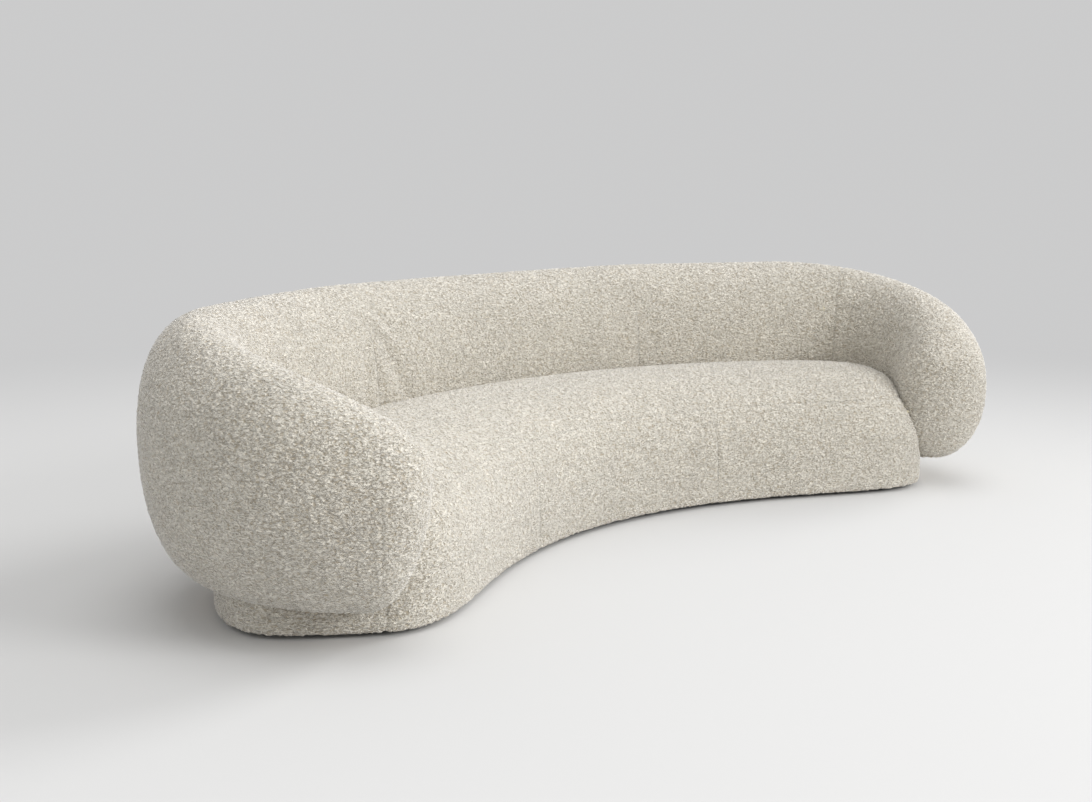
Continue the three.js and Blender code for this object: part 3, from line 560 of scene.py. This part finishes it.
def section_ring(distance):
    """One ring of the back: over the top from the outer edge of the underside, and back under it."""
    sizes = back_sizes()
    top, belly, underside, taper = section_levels(distance)
    middle = (top + belly) / 2
    half = max((top - belly) / 2, TINY)
    start = -math.asin(min(1.0, (middle - underside) / half) ** (sizes.fullness / 2))
    angles = np.linspace(start, math.pi - start, OVAL_SAMPLES)
    wide = np.sign(np.cos(angles)) * np.abs(np.cos(angles)) ** (2 / sizes.fullness)
    high = np.sign(np.sin(angles)) * np.abs(np.sin(angles)) ** (2 / sizes.fullness)
    reach = np.where(wide > 0, sizes.outer_half, sizes.inner_half) * taper
    oval = resample(np.stack([reach * wide, middle + half * high], axis=1), OVAL_STEPS)
    width = oval[0, 0] - oval[-1, 0]
    fold = min(sizes.turn_under, width / FOLDS_ACROSS)
    steps = np.concatenate([[fold], np.linspace(fold, width - fold, FLAT_STEPS - 1)[1:], [width]])
    flat = np.stack([oval[-1, 0] + steps, np.full(len(steps), underside)], axis=1)
    ring = np.concatenate([oval, flat])
    x, y, out_x, out_y = path_at(distance)
    across = ring[:, 0] + rake_at(ring[:, 1])
    return np.stack([x + across * out_x, y + across * out_y, ring[:, 1]], axis=1)


def back_places():
    """Places of the rings from tip to tip, each seam among them, and closer ones on the noses."""
    sizes = back_sizes()
    cell = pad_sizes().cell
    seams = [0, sizes.centre_seam, sizes.arm_seam, sizes.nose_seam]
    half = np.concatenate([even_steps(start, end, cell)[1:] for start, end in zip(seams, seams[1:])])
    nose = path_half() - sizes.nose_seam
    turns = even_steps(0, math.pi / 2, NOSE_CELL_SHARE * cell / nose)[1:]
    half = np.concatenate([half, sizes.nose_seam + nose * np.sin(turns)])
    return np.concatenate([-half[::-1], [0], half])


def back_seams():
    """Places of the seams along the path, from tip to tip."""
    sizes = back_sizes()
    half = np.array([sizes.centre_seam, sizes.arm_seam, sizes.nose_seam])
    return np.concatenate([-half[::-1], half])


class SOFA_OT_back_covers(bpy.types.Operator):
    """Make the back, arm and nose covers"""

    bl_idname = "sofa.back_covers"
    bl_label = "Back Covers"

    def execute(self, context):
        places = back_places()
        seams = back_seams()
        points = np.stack([section_ring(place) for place in places])
        spans = np.searchsorted(seams, (places[1:] + places[:-1]) / 2)
        panels = np.repeat(spans[:, None], OVAL_STEPS + FLAT_STEPS, axis=1)
        slit = slice(OVAL_STEPS + 1, OVAL_STEPS + FLAT_STEPS - 1)
        panels[(spans > 0) & (spans < len(seams)), slit] = HIDDEN
        held = np.zeros(points.shape[:2], bool)
        held[:, 0] = True
        held[:, OVAL_STEPS:] = True
        held[np.min(np.abs(places[:, None] - seams), axis=1) < JOIN_DISTANCE] = True
        held[[0, -1]] = True
        body = placed_grid(points, panels, held)
        inflate(body)
        finish = boucle_finish()
        for panel, node in enumerate(BACK_PANELS):
            cover_piece(f"{node}_cloth", body, panel, finish)
        body.free()
        return {"FINISHED"}


# Seat covers

SEAT_PANELS = [
    "seat_top_cover",
    "front_border_cover_left",
    "front_border_cover_centre",
    "front_border_cover_right",
    "rear_border_cover",
]
TIP_START_SHARE = 0.62
TIP_STEPS = 44
HEM_ROUND = 0.004
RIDGE_SHARE = 0.9999
TUCK_LOW = 0.09
TUCK_HIGH = 0.13
TUCK_POWER = 1.4
HIDDEN_DEPTH = 0.012


def on_seat(along, across):
    """Points of the plan that lie along and across the seat's middle arc."""
    sizes = seat_sizes()
    turn = along / sizes.arc_radius
    radius = sizes.arc_radius + across
    centre_y = path_origin_y() - sizes.setback - sizes.arc_radius
    return np.stack([radius * np.sin(turn), radius * np.cos(turn) + centre_y], axis=-1)


def outline_breadth(shares, side):
    """Share of the half depth that the outline has there, in front (-1) or at the rear (1)."""
    sizes = seat_sizes()
    power = sizes.rear_power if side > 0 else sizes.front_power
    return np.maximum(0, 1 - np.abs(shares) ** power) ** (1 / power)


def outline_shares(inset):
    """Shares of the half length from one tip to the other, with the seams' places among them."""
    sizes = seat_sizes()
    cell = pad_sizes().cell
    reach = sizes.half_length - inset
    power = (sizes.front_power + sizes.rear_power) / 2
    straight_end = TIP_START_SHARE * sizes.half_length
    middle = even_steps(0, sizes.front_seam, cell)
    middle = np.concatenate([middle, even_steps(sizes.front_seam, straight_end, cell)[1:]]) / reach
    turns = np.linspace(math.acos(middle[-1] ** (power / 2)), 0, TIP_STEPS + 1)[1:]
    tip = np.cos(turns) ** (2 / power)
    half = np.concatenate([middle, tip])
    return np.concatenate([half[::-1], -half[1:]])


def end_seam_column(shares):
    """Where the front half of the outline is as far forward as the seam at its tips."""
    sizes = seat_sizes()
    across = sizes.depth / 2 * (1 + sizes.flare * shares**2) * outline_breadth(shares, -1)
    tip_side = shares > TIP_START_SHARE
    return int(np.argmin(np.where(tip_side, np.abs(across - sizes.end_seam_depth), np.inf)))


def seat_ring(inset, height):
    """One level line of the seat body, from the right tip over the rear to the left tip and back in front."""
    sizes = seat_sizes()
    shares = outline_shares(min(inset, sizes.depth / 2))
    half = np.maximum(0, sizes.depth / 2 * (1 + sizes.flare * shares**2) - inset)
    along = (sizes.half_length - inset) * shares
    if height > sizes.height + sizes.crown * RIDGE_SHARE:
        half = np.zeros_like(shares)
    rear = on_seat(along, half * outline_breadth(shares, 1))
    front = on_seat(along, -half * outline_breadth(shares, -1))[::-1][1:]
    plan = np.concatenate([rear, front])
    return np.column_stack([plan, np.full(len(plan), height)])


def seat_rows():
    """Insets and heights of the level lines: turn-under, wall, rolled edge, crown and the crown's ridge."""
    sizes = seat_sizes()
    cell = pad_sizes().cell
    rows = [(inset, sizes.hem_height) for inset in even_steps(sizes.turn_under, HEM_ROUND, cell)]
    wall_top = sizes.height - sizes.edge_radius
    wall = even_steps(sizes.hem_height + HEM_ROUND, wall_top, cell)
    rows += [(0.0, height) for height in wall]
    seam_turn = math.asin((sizes.top_seam_height - wall_top) / sizes.edge_radius)
    for start, end in ((0, seam_turn), (seam_turn, math.pi / 2)):
        for turn in even_steps(start, end, cell / sizes.edge_radius)[1:]:
            inset = sizes.edge_radius * (1 - math.cos(turn))
            rows.append((inset, wall_top + sizes.edge_radius * math.sin(turn)))
    reach = sizes.depth / 2 - sizes.edge_radius
    for share in even_steps(0, 1, cell / reach)[1:]:
        rows.append((sizes.edge_radius + reach * share, sizes.height + sizes.crown * (1 - (1 - share) ** 2)))
    return rows


def tuck(body):
    """Rolls the seat in where it runs against the back, as foam pressed into a corner is."""
    pad = pad_sizes()
    body.normal_update()
    places = np.array([vert.co[:] for vert in body.verts])
    outside = np.maximum(0, -depth_in_back(places))
    clear_of_floor = np.clip((places[:, 2] - TUCK_LOW) / (TUCK_HIGH - TUCK_LOW), 0, 1)
    rolls = pad.tuck_depth * np.exp(-((outside / pad.tuck_width) ** TUCK_POWER)) * clear_of_floor
    for vert, roll in zip(body.verts, rolls.tolist()):
        vert.co -= vert.normal * roll


class SOFA_OT_seat_covers(bpy.types.Operator):
    """Make the seat's top cover and its border covers"""

    bl_idname = "sofa.seat_covers"
    bl_label = "Seat Covers"

    def execute(self, context):
        sizes = seat_sizes()
        rows = seat_rows()
        points = np.stack([seat_ring(inset, height) for inset, height in rows])
        count = points.shape[1]
        heights = np.array([height for _, height in rows])
        seam_row = int(np.argmin(np.abs(heights - sizes.top_seam_height)))
        shares = outline_shares(0.0)
        end_column = end_seam_column(shares)
        right_end = count - 1 - end_column
        left_end = len(shares) - 1 + end_column
        along = sizes.half_length * shares
        right_seam = count - 1 - int(np.argmin(np.abs(along - sizes.front_seam)))
        left_seam = count - 1 - int(np.argmin(np.abs(along + sizes.front_seam)))
        top, front_left, front_centre, front_right, rear = range(len(SEAT_PANELS))
        border = np.full(count - 1, rear)
        border[left_end:left_seam] = front_left
        border[left_seam:right_seam] = front_centre
        border[right_seam:right_end] = front_right
        panels = np.repeat(border[None, :], len(rows) - 1, axis=0)
        panels[seam_row:] = top
        inside = depth_in_back(points.reshape(-1, 3)).reshape(points.shape[:2]) > HIDDEN_DEPTH
        covered = inside[:-1, :-1] & inside[1:, :-1] & inside[:-1, 1:] & inside[1:, 1:]
        panels[covered] = HIDDEN
        held = np.zeros(points.shape[:2], bool)
        held[heights < sizes.hem_height + 2 * HEM_ROUND] = True
        held[seam_row] = True
        held[:seam_row, [left_end, left_seam, right_seam, right_end]] = True
        body = placed_grid(points, panels, held | inside)
        inflate(body)
        tuck(body)
        finish = boucle_finish()
        for panel, node in enumerate(SEAT_PANELS):
            cover_piece(f"{node}_cloth", body, panel, finish)
        body.free()
        return {"FINISHED"}


# Foams

BACK_FOAMS = ["back_inner_foam", "back_outer_foam", "nose_foam_left", "nose_foam_right"]
SEAT_FOAMS = ["seat_foam", "front_border_foam", "rear_border_foam"]
FOAM_MERGE = 1e-5
JOIN_FACE_ANGLE = 0.3
JOIN_SHAPE_ANGLE = 0.6
FOAM_CUTS = 3
FOAM_SHRINK = 0.004
FOAM_EDGE = 0.003
FOAM_EDGE_SEGMENTS = 2


def merged_copy(node, name):
    """A copy of a solid's mesh with its doubles merged and its flat triangles joined."""
    mesh = NODES[node].data.copy()
    mesh.name = name
    work = bmesh.new()
    work.from_mesh(mesh)
    bmesh.ops.remove_doubles(work, verts=work.verts, dist=FOAM_MERGE)
    bmesh.ops.join_triangles(
        work,
        faces=work.faces,
        angle_face_threshold=JOIN_FACE_ANGLE,
        angle_shape_threshold=JOIN_SHAPE_ANGLE,
    )
    work.to_mesh(mesh)
    work.free()
    piece = bpy.data.objects.new(name, mesh)
    bpy.context.scene.collection.objects.link(piece)
    return piece


class SOFA_OT_foams(bpy.types.Operator):
    """Make the foam blocks under the covers"""

    bl_idname = "sofa.foams"
    bl_label = "Foams"

    def execute(self, context):
        finish = foam_finish()
        for node in BACK_FOAMS + SEAT_FOAMS:
            piece = merged_copy(node, f"{node}_block")
            work = bmesh.new()
            work.from_mesh(piece.data)
            if node in SEAT_FOAMS:
                bmesh.ops.triangulate(work, faces=work.faces)
                bmesh.ops.subdivide_edges(work, edges=work.edges, cuts=FOAM_CUTS, use_grid_fill=True)
                tuck(work)
            work.normal_update()
            for vert in work.verts:
                vert.co -= vert.normal * FOAM_SHRINK
            work.to_mesh(piece.data)
            work.free()
            bevel = piece.modifiers.new("Rounded cut edges", "BEVEL")
            bevel.width = FOAM_EDGE
            bevel.segments = FOAM_EDGE_SEGMENTS
            finish_piece(piece, finish, [node])
        return {"FINISHED"}


# Finishes

LOOP_SCALE = 95.0
PEBBLE_SCALE = 125.0
SQUASH = (1.0, 1.0, 1.9)
LOOP_MIDDLE = 0.5
YARN_RANGE = (0.0, 0.15)
DOME_RANGE = (0.15, 0.85)
YARN_SHARE = 0.5
FINE_SHARE = 0.8
# Painted shade: the range of curl height over which the colour passes from the shaded gaps to the loops'
# tops.
GAP_SHADE_RANGE = (0.2, 0.62)
CLOUD_RANGE = (0.3, 0.7)
CLOUD_TONES = (0.95, 1.05)
# Painted shade: how dark the colour gets right at a seam.
SEAM_SHADE_TONE = 0.8
# Painted sheen: how far the surface must turn away from view before its colour lightens, and how far it
# lightens.
RIM_SHEEN_START = 0.68
RIM_SHEEN_SHARE = 1.0
CELL_TONE = 0.7
WEAVE_GAP_TONE = 0.5
WEBBING_THREAD = 0.002
DUST_CLOTH_THREAD = 0.001
BANDS_PER_TURN = 6.3


def new_material(name):
    """A material with its node tree and its shader."""
    material = bpy.data.materials.new(name)
    material.use_nodes = True
    tree = material.node_tree
    return material, tree, tree.nodes["Principled BSDF"]


def set_inputs(tree, node, inputs):
    """Sets a node's inputs, or links those that are given as sockets."""
    for key, value in inputs.items():
        if isinstance(value, bpy.types.NodeSocket):
            tree.links.new(value, node.inputs[key])
        else:
            node.inputs[key].default_value = value


def add_node(tree, kind, inputs=None, **settings):
    """A node with its settings and inputs."""
    node = tree.nodes.new(kind)
    for key, value in settings.items():
        setattr(node, key, value)
    set_inputs(tree, node, inputs or {})
    return node


def object_place(tree):
    """The place on the object, for the patterns."""
    return add_node(tree, "ShaderNodeTexCoord").outputs["Object"]


def maths(tree, operation, *values):
    """A sum of one or two values."""
    return add_node(tree, "ShaderNodeMath", dict(enumerate(values)), operation=operation).outputs[0]


def map_range(tree, value, start, end=(0.0, 1.0), **settings):
    """A value carried over from one range to another."""
    inputs = {"Value": value, "From Min": start[0], "From Max": start[1], "To Min": end[0], "To Max": end[1]}
    return add_node(tree, "ShaderNodeMapRange", inputs, **settings).outputs[0]


def mix_values(tree, share, first, second):
    """A blend of two values."""
    return add_node(tree, "ShaderNodeMix", {0: share, 2: first, 3: second}, data_type="FLOAT").outputs[0]


def mix_colours(tree, share, first, second):
    """A blend of two colours."""
    return add_node(tree, "ShaderNodeMix", {0: share, 6: first, 7: second}, data_type="RGBA").outputs[2]


def relief_normal(tree, height, strength, distance):
    """The normal of a surface that a height pattern raises."""
    inputs = {"Height": height, "Strength": strength, "Distance": distance}
    return add_node(tree, "ShaderNodeBump", inputs).outputs[0]


def dimmed(shade, tone):
    """The same colour, darker."""
    red, green, blue, alpha = shade
    return tone * red, tone * green, tone * blue, alpha


def new_group(name, inputs, outputs):
    """A shader node group with named sockets, and the sockets to build it from."""
    tree = bpy.data.node_groups.new(name, "ShaderNodeTree")
    for socket_name, kind in inputs.items():
        tree.interface.new_socket(socket_name, in_out="INPUT", socket_type=kind)
    for socket_name, kind in outputs.items():
        tree.interface.new_socket(socket_name, in_out="OUTPUT", socket_type=kind)
    return tree, tree.nodes.new("NodeGroupInput").outputs, tree.nodes.new("NodeGroupOutput")


def grain_group():
    """Fine grain that varies the gloss and raises the surface a little."""
    tree, given, result = new_group(
        "Fine grain",
        {
            "Vector": "NodeSocketVector",
            "Scale": "NodeSocketFloat",
            "Detail": "NodeSocketFloat",
            "Distortion": "NodeSocketFloat",
            "Least Roughness": "NodeSocketFloat",
            "Most Roughness": "NodeSocketFloat",
        },
        {"Height": "NodeSocketFloat", "Roughness": "NodeSocketFloat"},
    )
    pattern = {key: given[key] for key in ("Vector", "Scale", "Detail", "Distortion")}
    grain = add_node(tree, "ShaderNodeTexNoise", pattern).outputs["Fac"]
    rough = map_range(tree, grain, (0.0, 1.0), (given["Least Roughness"], given["Most Roughness"]))
    set_inputs(tree, result, {"Height": grain, "Roughness": rough})
    return tree


def weave_group():
    """Plain weave: threads across each other, with darker gaps."""
    tree, given, result = new_group(
        "Plain weave",
        {
            "Vector": "NodeSocketVector",
            "Scale": "NodeSocketFloat",
            "Gap Color": "NodeSocketColor",
            "Thread Color": "NodeSocketColor",
        },
        {"Color": "NodeSocketColor", "Height": "NodeSocketFloat"},
    )
    pattern = {"Vector": given["Vector"], "Scale": given["Scale"]}
    along = add_node(tree, "ShaderNodeTexWave", pattern, bands_direction="X").outputs["Fac"]
    across = add_node(tree, "ShaderNodeTexWave", pattern, bands_direction="Y").outputs["Fac"]
    height = maths(tree, "MAXIMUM", along, across)
    shade = mix_colours(tree, height, given["Gap Color"], given["Thread Color"])
    set_inputs(tree, result, {"Color": shade, "Height": height})
    return tree


def boucle_finish():
    """Cream boucle: pale looped curls over gaps darkened with painted shade, and a painted sheen that
    lightens its colour toward a pale tone at its edges, where the surface turns away from view.
    """
    name = "Cream boucle"
    if name in bpy.data.materials:
        return bpy.data.materials[name]
    colours = sofa_colours()
    material, tree, shader = new_material(name)
    place = object_place(tree)
    curl = add_node(tree, "ShaderNodeAttribute", attribute_name=CURL).outputs["Fac"]
    seam = add_node(tree, "ShaderNodeAttribute", attribute_name=SEAM).outputs["Fac"]
    flat = add_node(tree, "ShaderNodeMapping", {"Vector": place, "Scale": SQUASH}).outputs[0]

    loops = add_node(
        tree,
        "ShaderNodeTexNoise",
        {"Vector": flat, "Scale": LOOP_SCALE, "Detail": 1.0, "Roughness": 0.5, "Distortion": 0.6},
    )
    ridge = maths(tree, "ABSOLUTE", maths(tree, "SUBTRACT", loops.outputs["Fac"], LOOP_MIDDLE))
    yarn = map_range(tree, ridge, YARN_RANGE, (1.0, 0.0))
    pebbles = add_node(tree, "ShaderNodeTexVoronoi", {"Vector": flat, "Scale": PEBBLE_SCALE}, feature="F1")
    dome = map_range(tree, pebbles.outputs["Distance"], DOME_RANGE, (1.0, 0.0))
    fine = mix_values(tree, YARN_SHARE, dome, yarn)
    relief = mix_values(tree, FINE_SHARE, curl, fine)
    # Painted shade: where the curls and the fine pattern lie low, the colour darkens toward the shaded gaps.
    mask = map_range(tree, relief, GAP_SHADE_RANGE)
    shade = mix_colours(tree, mask, tuple(colours.gap), tuple(colours.loop))

    cloud = add_node(tree, "ShaderNodeTexNoise", {"Vector": place, "Scale": 7.0, "Detail": 3.0})
    drift = map_range(tree, cloud.outputs["Fac"], CLOUD_RANGE, CLOUD_TONES)
    # Painted shade: darker along the seams, where the cloth is drawn in.
    seam_shade = map_range(tree, seam, (0.0, 1.0), (1.0, SEAM_SHADE_TONE))
    tone = maths(tree, "MULTIPLY", drift, seam_shade)
    tint = add_node(tree, "ShaderNodeHueSaturation", {"Color": shade, "Value": tone}).outputs[0]

    # Painted sheen: the colour lightens toward a pale tone where the surface turns away from view, a rim
    # highlight laid into the base colour.
    slant = add_node(tree, "ShaderNodeLayerWeight", {"Blend": 0.5}).outputs["Facing"]
    rim_sheen_share = map_range(
        tree, slant, (RIM_SHEEN_START, 1.0), (0.0, RIM_SHEEN_SHARE), interpolation_type="SMOOTHSTEP"
    )
    set_inputs(
        tree,
        shader,
        {
            "Base Color": mix_colours(tree, rim_sheen_share, tint, tuple(colours.painted_rim_sheen)),
            "Normal": relief_normal(tree, fine, strength=1.0, distance=0.007),
            "Roughness": 0.95,
            "Specular IOR Level": 0.15,
            "Sheen Weight": 1.0,
            "Sheen Roughness": 0.5,
            "Sheen Tint": (1.0, 0.97, 0.92, 1.0),
        },
    )
    return material


def foam_finish():
    """Cut foam with open cells."""
    foam = tuple(sofa_colours().foam)
    material, tree, shader = new_material("Cut foam")
    pattern = {"Vector": object_place(tree), "Scale": 420.0}
    cells = add_node(tree, "ShaderNodeTexVoronoi", pattern).outputs["Distance"]
    set_inputs(
        tree,
        shader,
        {
            "Base Color": mix_colours(tree, cells, foam, dimmed(foam, CELL_TONE)),
            "Normal": relief_normal(tree, cells, strength=0.5, distance=0.001),
            "Roughness": 0.9,
        },
    )
    return material


def plywood_finish(grain_tree):
    """Birch plywood: long soft grain and fine pores."""
    colours = sofa_colours()
    material, tree, shader = new_material("Birch plywood")
    stretch = {"Vector": object_place(tree), "Scale": (2.0, 14.0, 14.0)}
    place = add_node(tree, "ShaderNodeMapping", stretch).outputs[0]
    grain = add_node(
        tree,
        "ShaderNodeGroup",
        {
            "Vector": place,
            "Scale": 3.0,
            "Detail": 6.0,
            "Distortion": 0.6,
            "Least Roughness": 0.5,
            "Most Roughness": 0.75,
        },
        node_tree=grain_tree,
    ).outputs
    pattern = {"Vector": place, "Scale": 1.2, "Distortion": 6.0, "Detail": 3.0}
    rings = add_node(tree, "ShaderNodeTexWave", pattern).outputs["Fac"]
    late = maths(tree, "MULTIPLY", grain["Height"], rings)
    set_inputs(
        tree,
        shader,
        {
            "Base Color": mix_colours(tree, late, tuple(colours.wood_light), tuple(colours.wood_dark)),
            "Normal": relief_normal(tree, grain["Height"], strength=0.2, distance=0.0005),
            "Roughness": grain["Roughness"],
        },
    )
    return material


def woven_finish(name, weave_tree, base, thread):
    """Plain weave of one colour, for webbing and for the thin cloth underneath."""
    material, tree, shader = new_material(name)
    weave = add_node(
        tree,
        "ShaderNodeGroup",
        {
            "Vector": object_place(tree),
            "Scale": 1 / thread / BANDS_PER_TURN,
            "Gap Color": dimmed(base, WEAVE_GAP_TONE),
            "Thread Color": tuple(base),
        },
        node_tree=weave_tree,
    ).outputs
    set_inputs(
        tree,
        shader,
        {
            "Base Color": weave["Color"],
            "Normal": relief_normal(tree, weave["Height"], strength=0.4, distance=0.0006),
            "Roughness": 0.85,
        },
    )
    return material


def plastic_finish(grain_tree):
    """Dark moulded plastic with a faint grain."""
    material, tree, shader = new_material("Glide plastic")
    grain = add_node(
        tree,
        "ShaderNodeGroup",
        {
            "Vector": object_place(tree),
            "Scale": 900.0,
            "Detail": 2.0,
            "Distortion": 0.0,
            "Least Roughness": 0.35,
            "Most Roughness": 0.6,
        },
        node_tree=grain_tree,
    ).outputs
    set_inputs(
        tree,
        shader,
        {
            "Base Color": tuple(sofa_colours().plastic),
            "Normal": relief_normal(tree, grain["Height"], strength=0.2, distance=0.0002),
            "Roughness": grain["Roughness"],
        },
    )
    return material


class SOFA_OT_frame_finishes(bpy.types.Operator):
    """Give the plywood, webbing, dust cloth and glides their finishes"""

    bl_idname = "sofa.frame_finishes"
    bl_label = "Frame Finishes"

    def execute(self, context):
        colours = sofa_colours()
        grain = grain_group()
        weave = weave_group()
        finishes = {
            "plywood": plywood_finish(grain),
            "webbing": woven_finish("Elastic webbing", weave, colours.webbing, WEBBING_THREAD),
            "dust_cloth": woven_finish("Dust cloth", weave, colours.dust_cloth, DUST_CLOTH_THREAD),
            "glide_plastic": plastic_finish(grain),
        }
        for part in frame["record"]["subparts"]:
            if part["material_slot"] in finishes:
                mesh = NODES[part["node"]].data
                mesh.materials.clear()
                mesh.materials.append(finishes[part["material_slot"]])
        return {"FINISHED"}


# Stage

CAMERA_PLACE = (-3.12697, -3.47781, 1.07354)
CAMERA_TURN_DEG = -44.82
CAMERA_PITCH_DEG = 9.38
CAMERA_LENS_MM = 47.66
SENSOR_MM = 36.0
FLOOR_RADIUS = 16.0
FLOOR_SIDES = 96
FADE_CENTRE = (-1.13, -1.13, 0.0)
FADE_START = 2.5
FADE_END = 6.2
LIGHT_TARGET = (0.0, -0.2, 0.3)
LIGHTS = {
    "front_light": dict(kind="AREA", place=(2.2, -7.4, 3.6), energy=344.0, shape="DISK", size=3.7),
    "right_light": dict(kind="SUN", place=(8.0, -1.4, 3.9), energy=1.34, angle=math.radians(24)),
    "top_light": dict(kind="SUN", place=(0.5, -0.5, 8.0), energy=0.67, angle=math.radians(40)),
}
WORLD_STRENGTH = 0.66


def sees_backdrop(tree):
    """1 for the rays that show the backdrop itself, 0 for those that only bring its light."""
    rays = add_node(tree, "ShaderNodeLightPath").outputs
    direct = maths(tree, "MAXIMUM", rays["Is Camera Ray"], rays["Is Glossy Ray"])
    return maths(tree, "MAXIMUM", direct, rays["Is Transmission Ray"])


def studio_finish():
    """Matt studio paper: a pale lit floor round the sofa that fades to the even grey of the backdrop."""
    colours = sofa_colours()
    material, tree, shader = new_material("Studio paper")
    set_inputs(
        tree, shader, {"Base Color": tuple(colours.floor), "Roughness": 1.0, "Specular IOR Level": 0.0}
    )
    ends = {0: object_place(tree), 1: FADE_CENTRE}
    away = add_node(tree, "ShaderNodeVectorMath", ends, operation="DISTANCE").outputs["Value"]
    fade = map_range(tree, away, (FADE_START, FADE_END), interpolation_type="SMOOTHSTEP")
    share = maths(tree, "MULTIPLY", fade, sees_backdrop(tree))
    wall = add_node(tree, "ShaderNodeEmission", {"Color": tuple(colours.wall), "Strength": 1.0})
    blend = add_node(tree, "ShaderNodeMixShader", {0: share, 1: shader.outputs[0], 2: wall.outputs[0]})
    set_inputs(tree, tree.nodes["Material Output"], {"Surface": blend.outputs[0]})
    return material


def add_floor():
    """A round floor, wide enough that its edge is lost in the backdrop's tone."""
    work = bmesh.new()
    bmesh.ops.create_circle(work, cap_ends=True, segments=FLOOR_SIDES, radius=FLOOR_RADIUS)
    bmesh.ops.recalc_face_normals(work, faces=work.faces)
    floor = link_mesh("studio_floor", work)
    work.free()
    floor.data.materials.append(studio_finish())


def studio_world():
    """White light from all round, where the camera sees the backdrop's grey."""
    world = bpy.data.worlds.new("studio")
    world.use_nodes = True
    tree = world.node_tree
    light = tree.nodes["Background"]
    set_inputs(tree, light, {"Color": (1.0, 1.0, 1.0, 1.0), "Strength": WORLD_STRENGTH})
    wall = add_node(
        tree, "ShaderNodeBackground", {"Color": tuple(sofa_colours().wall), "Strength": 1.0}
    )
    ends = {0: sees_backdrop(tree), 1: light.outputs[0], 2: wall.outputs[0]}
    blend = add_node(tree, "ShaderNodeMixShader", ends)
    set_inputs(tree, tree.nodes["World Output"], {"Surface": blend.outputs[0]})
    return world


def add_light(name, kind, place, **settings):
    """A lamp that points at the sofa."""
    light = bpy.data.lights.new(name, kind)
    for key, value in settings.items():
        setattr(light, key, value)
    lamp = bpy.data.objects.new(name, light)
    lamp.location = place
    lamp.rotation_euler = (Vector(LIGHT_TARGET) - Vector(place)).to_track_quat("-Z", "Y").to_euler()
    bpy.context.scene.collection.objects.link(lamp)


class SOFA_OT_stage(bpy.types.Operator):
    """Make the studio floor, the lights and the camera"""

    bl_idname = "sofa.stage"
    bl_label = "Stage"

    def execute(self, context):
        scene = context.scene
        add_floor()
        scene.world = studio_world()
        for name, settings in LIGHTS.items():
            add_light(name, **settings)

        lens = bpy.data.cameras.new("camera")
        lens.lens = CAMERA_LENS_MM
        lens.sensor_width = SENSOR_MM
        camera = bpy.data.objects.new("camera", lens)
        x, y, z = CAMERA_PLACE
        camera.location = (x, y + path_origin_y(), z)
        camera.rotation_euler = (math.radians(90 - CAMERA_PITCH_DEG), 0, math.radians(CAMERA_TURN_DEG))
        scene.collection.objects.link(camera)
        scene.camera = camera
        scene.view_settings.view_transform = "Standard"
        return {"FINISHED"}


class SOFA_PT_panel(bpy.types.Panel):
    """Lists the sofa's operators and sizes"""

    bl_idname = "SOFA_PT_panel"
    bl_label = "Crescent Sofa"
    bl_space_type = "VIEW_3D"
    bl_region_type = "UI"
    bl_category = "Sofa"

    def draw(self, context):
        for operator in OPERATORS:
            self.layout.operator(operator.bl_idname)
        for group_key, cls in GROUPS.items():
            for key in cls.__annotations__:
                self.layout.prop(getattr(context.scene, group_key), key)


GROUPS = {
    "sofa_back": SofaBackSizes,
    "sofa_seat": SofaSeatSizes,
    "sofa_pad": SofaPadSizes,
    "sofa_colours": SofaColours,
}
OPERATORS = [
    SOFA_OT_back_covers,
    SOFA_OT_seat_covers,
    SOFA_OT_foams,
    SOFA_OT_frame_finishes,
    SOFA_OT_stage,
]


def register():
    for cls in [*GROUPS.values(), *OPERATORS, SOFA_PT_panel]:
        bpy.utils.register_class(cls)
    for key, group in GROUPS.items():
        setattr(bpy.types.Scene, key, PointerProperty(type=group))


def unregister():
    for key in GROUPS:
        delattr(bpy.types.Scene, key)
    for cls in reversed([*GROUPS.values(), *OPERATORS, SOFA_PT_panel]):
        bpy.utils.unregister_class(cls)


def main():
    register()
    bpy.ops.sofa.back_covers()
    bpy.ops.sofa.seat_covers()
    bpy.ops.sofa.foams()
    bpy.ops.sofa.frame_finishes()
    bpy.ops.sofa.stage()


if __name__ == "__main__":
    main()
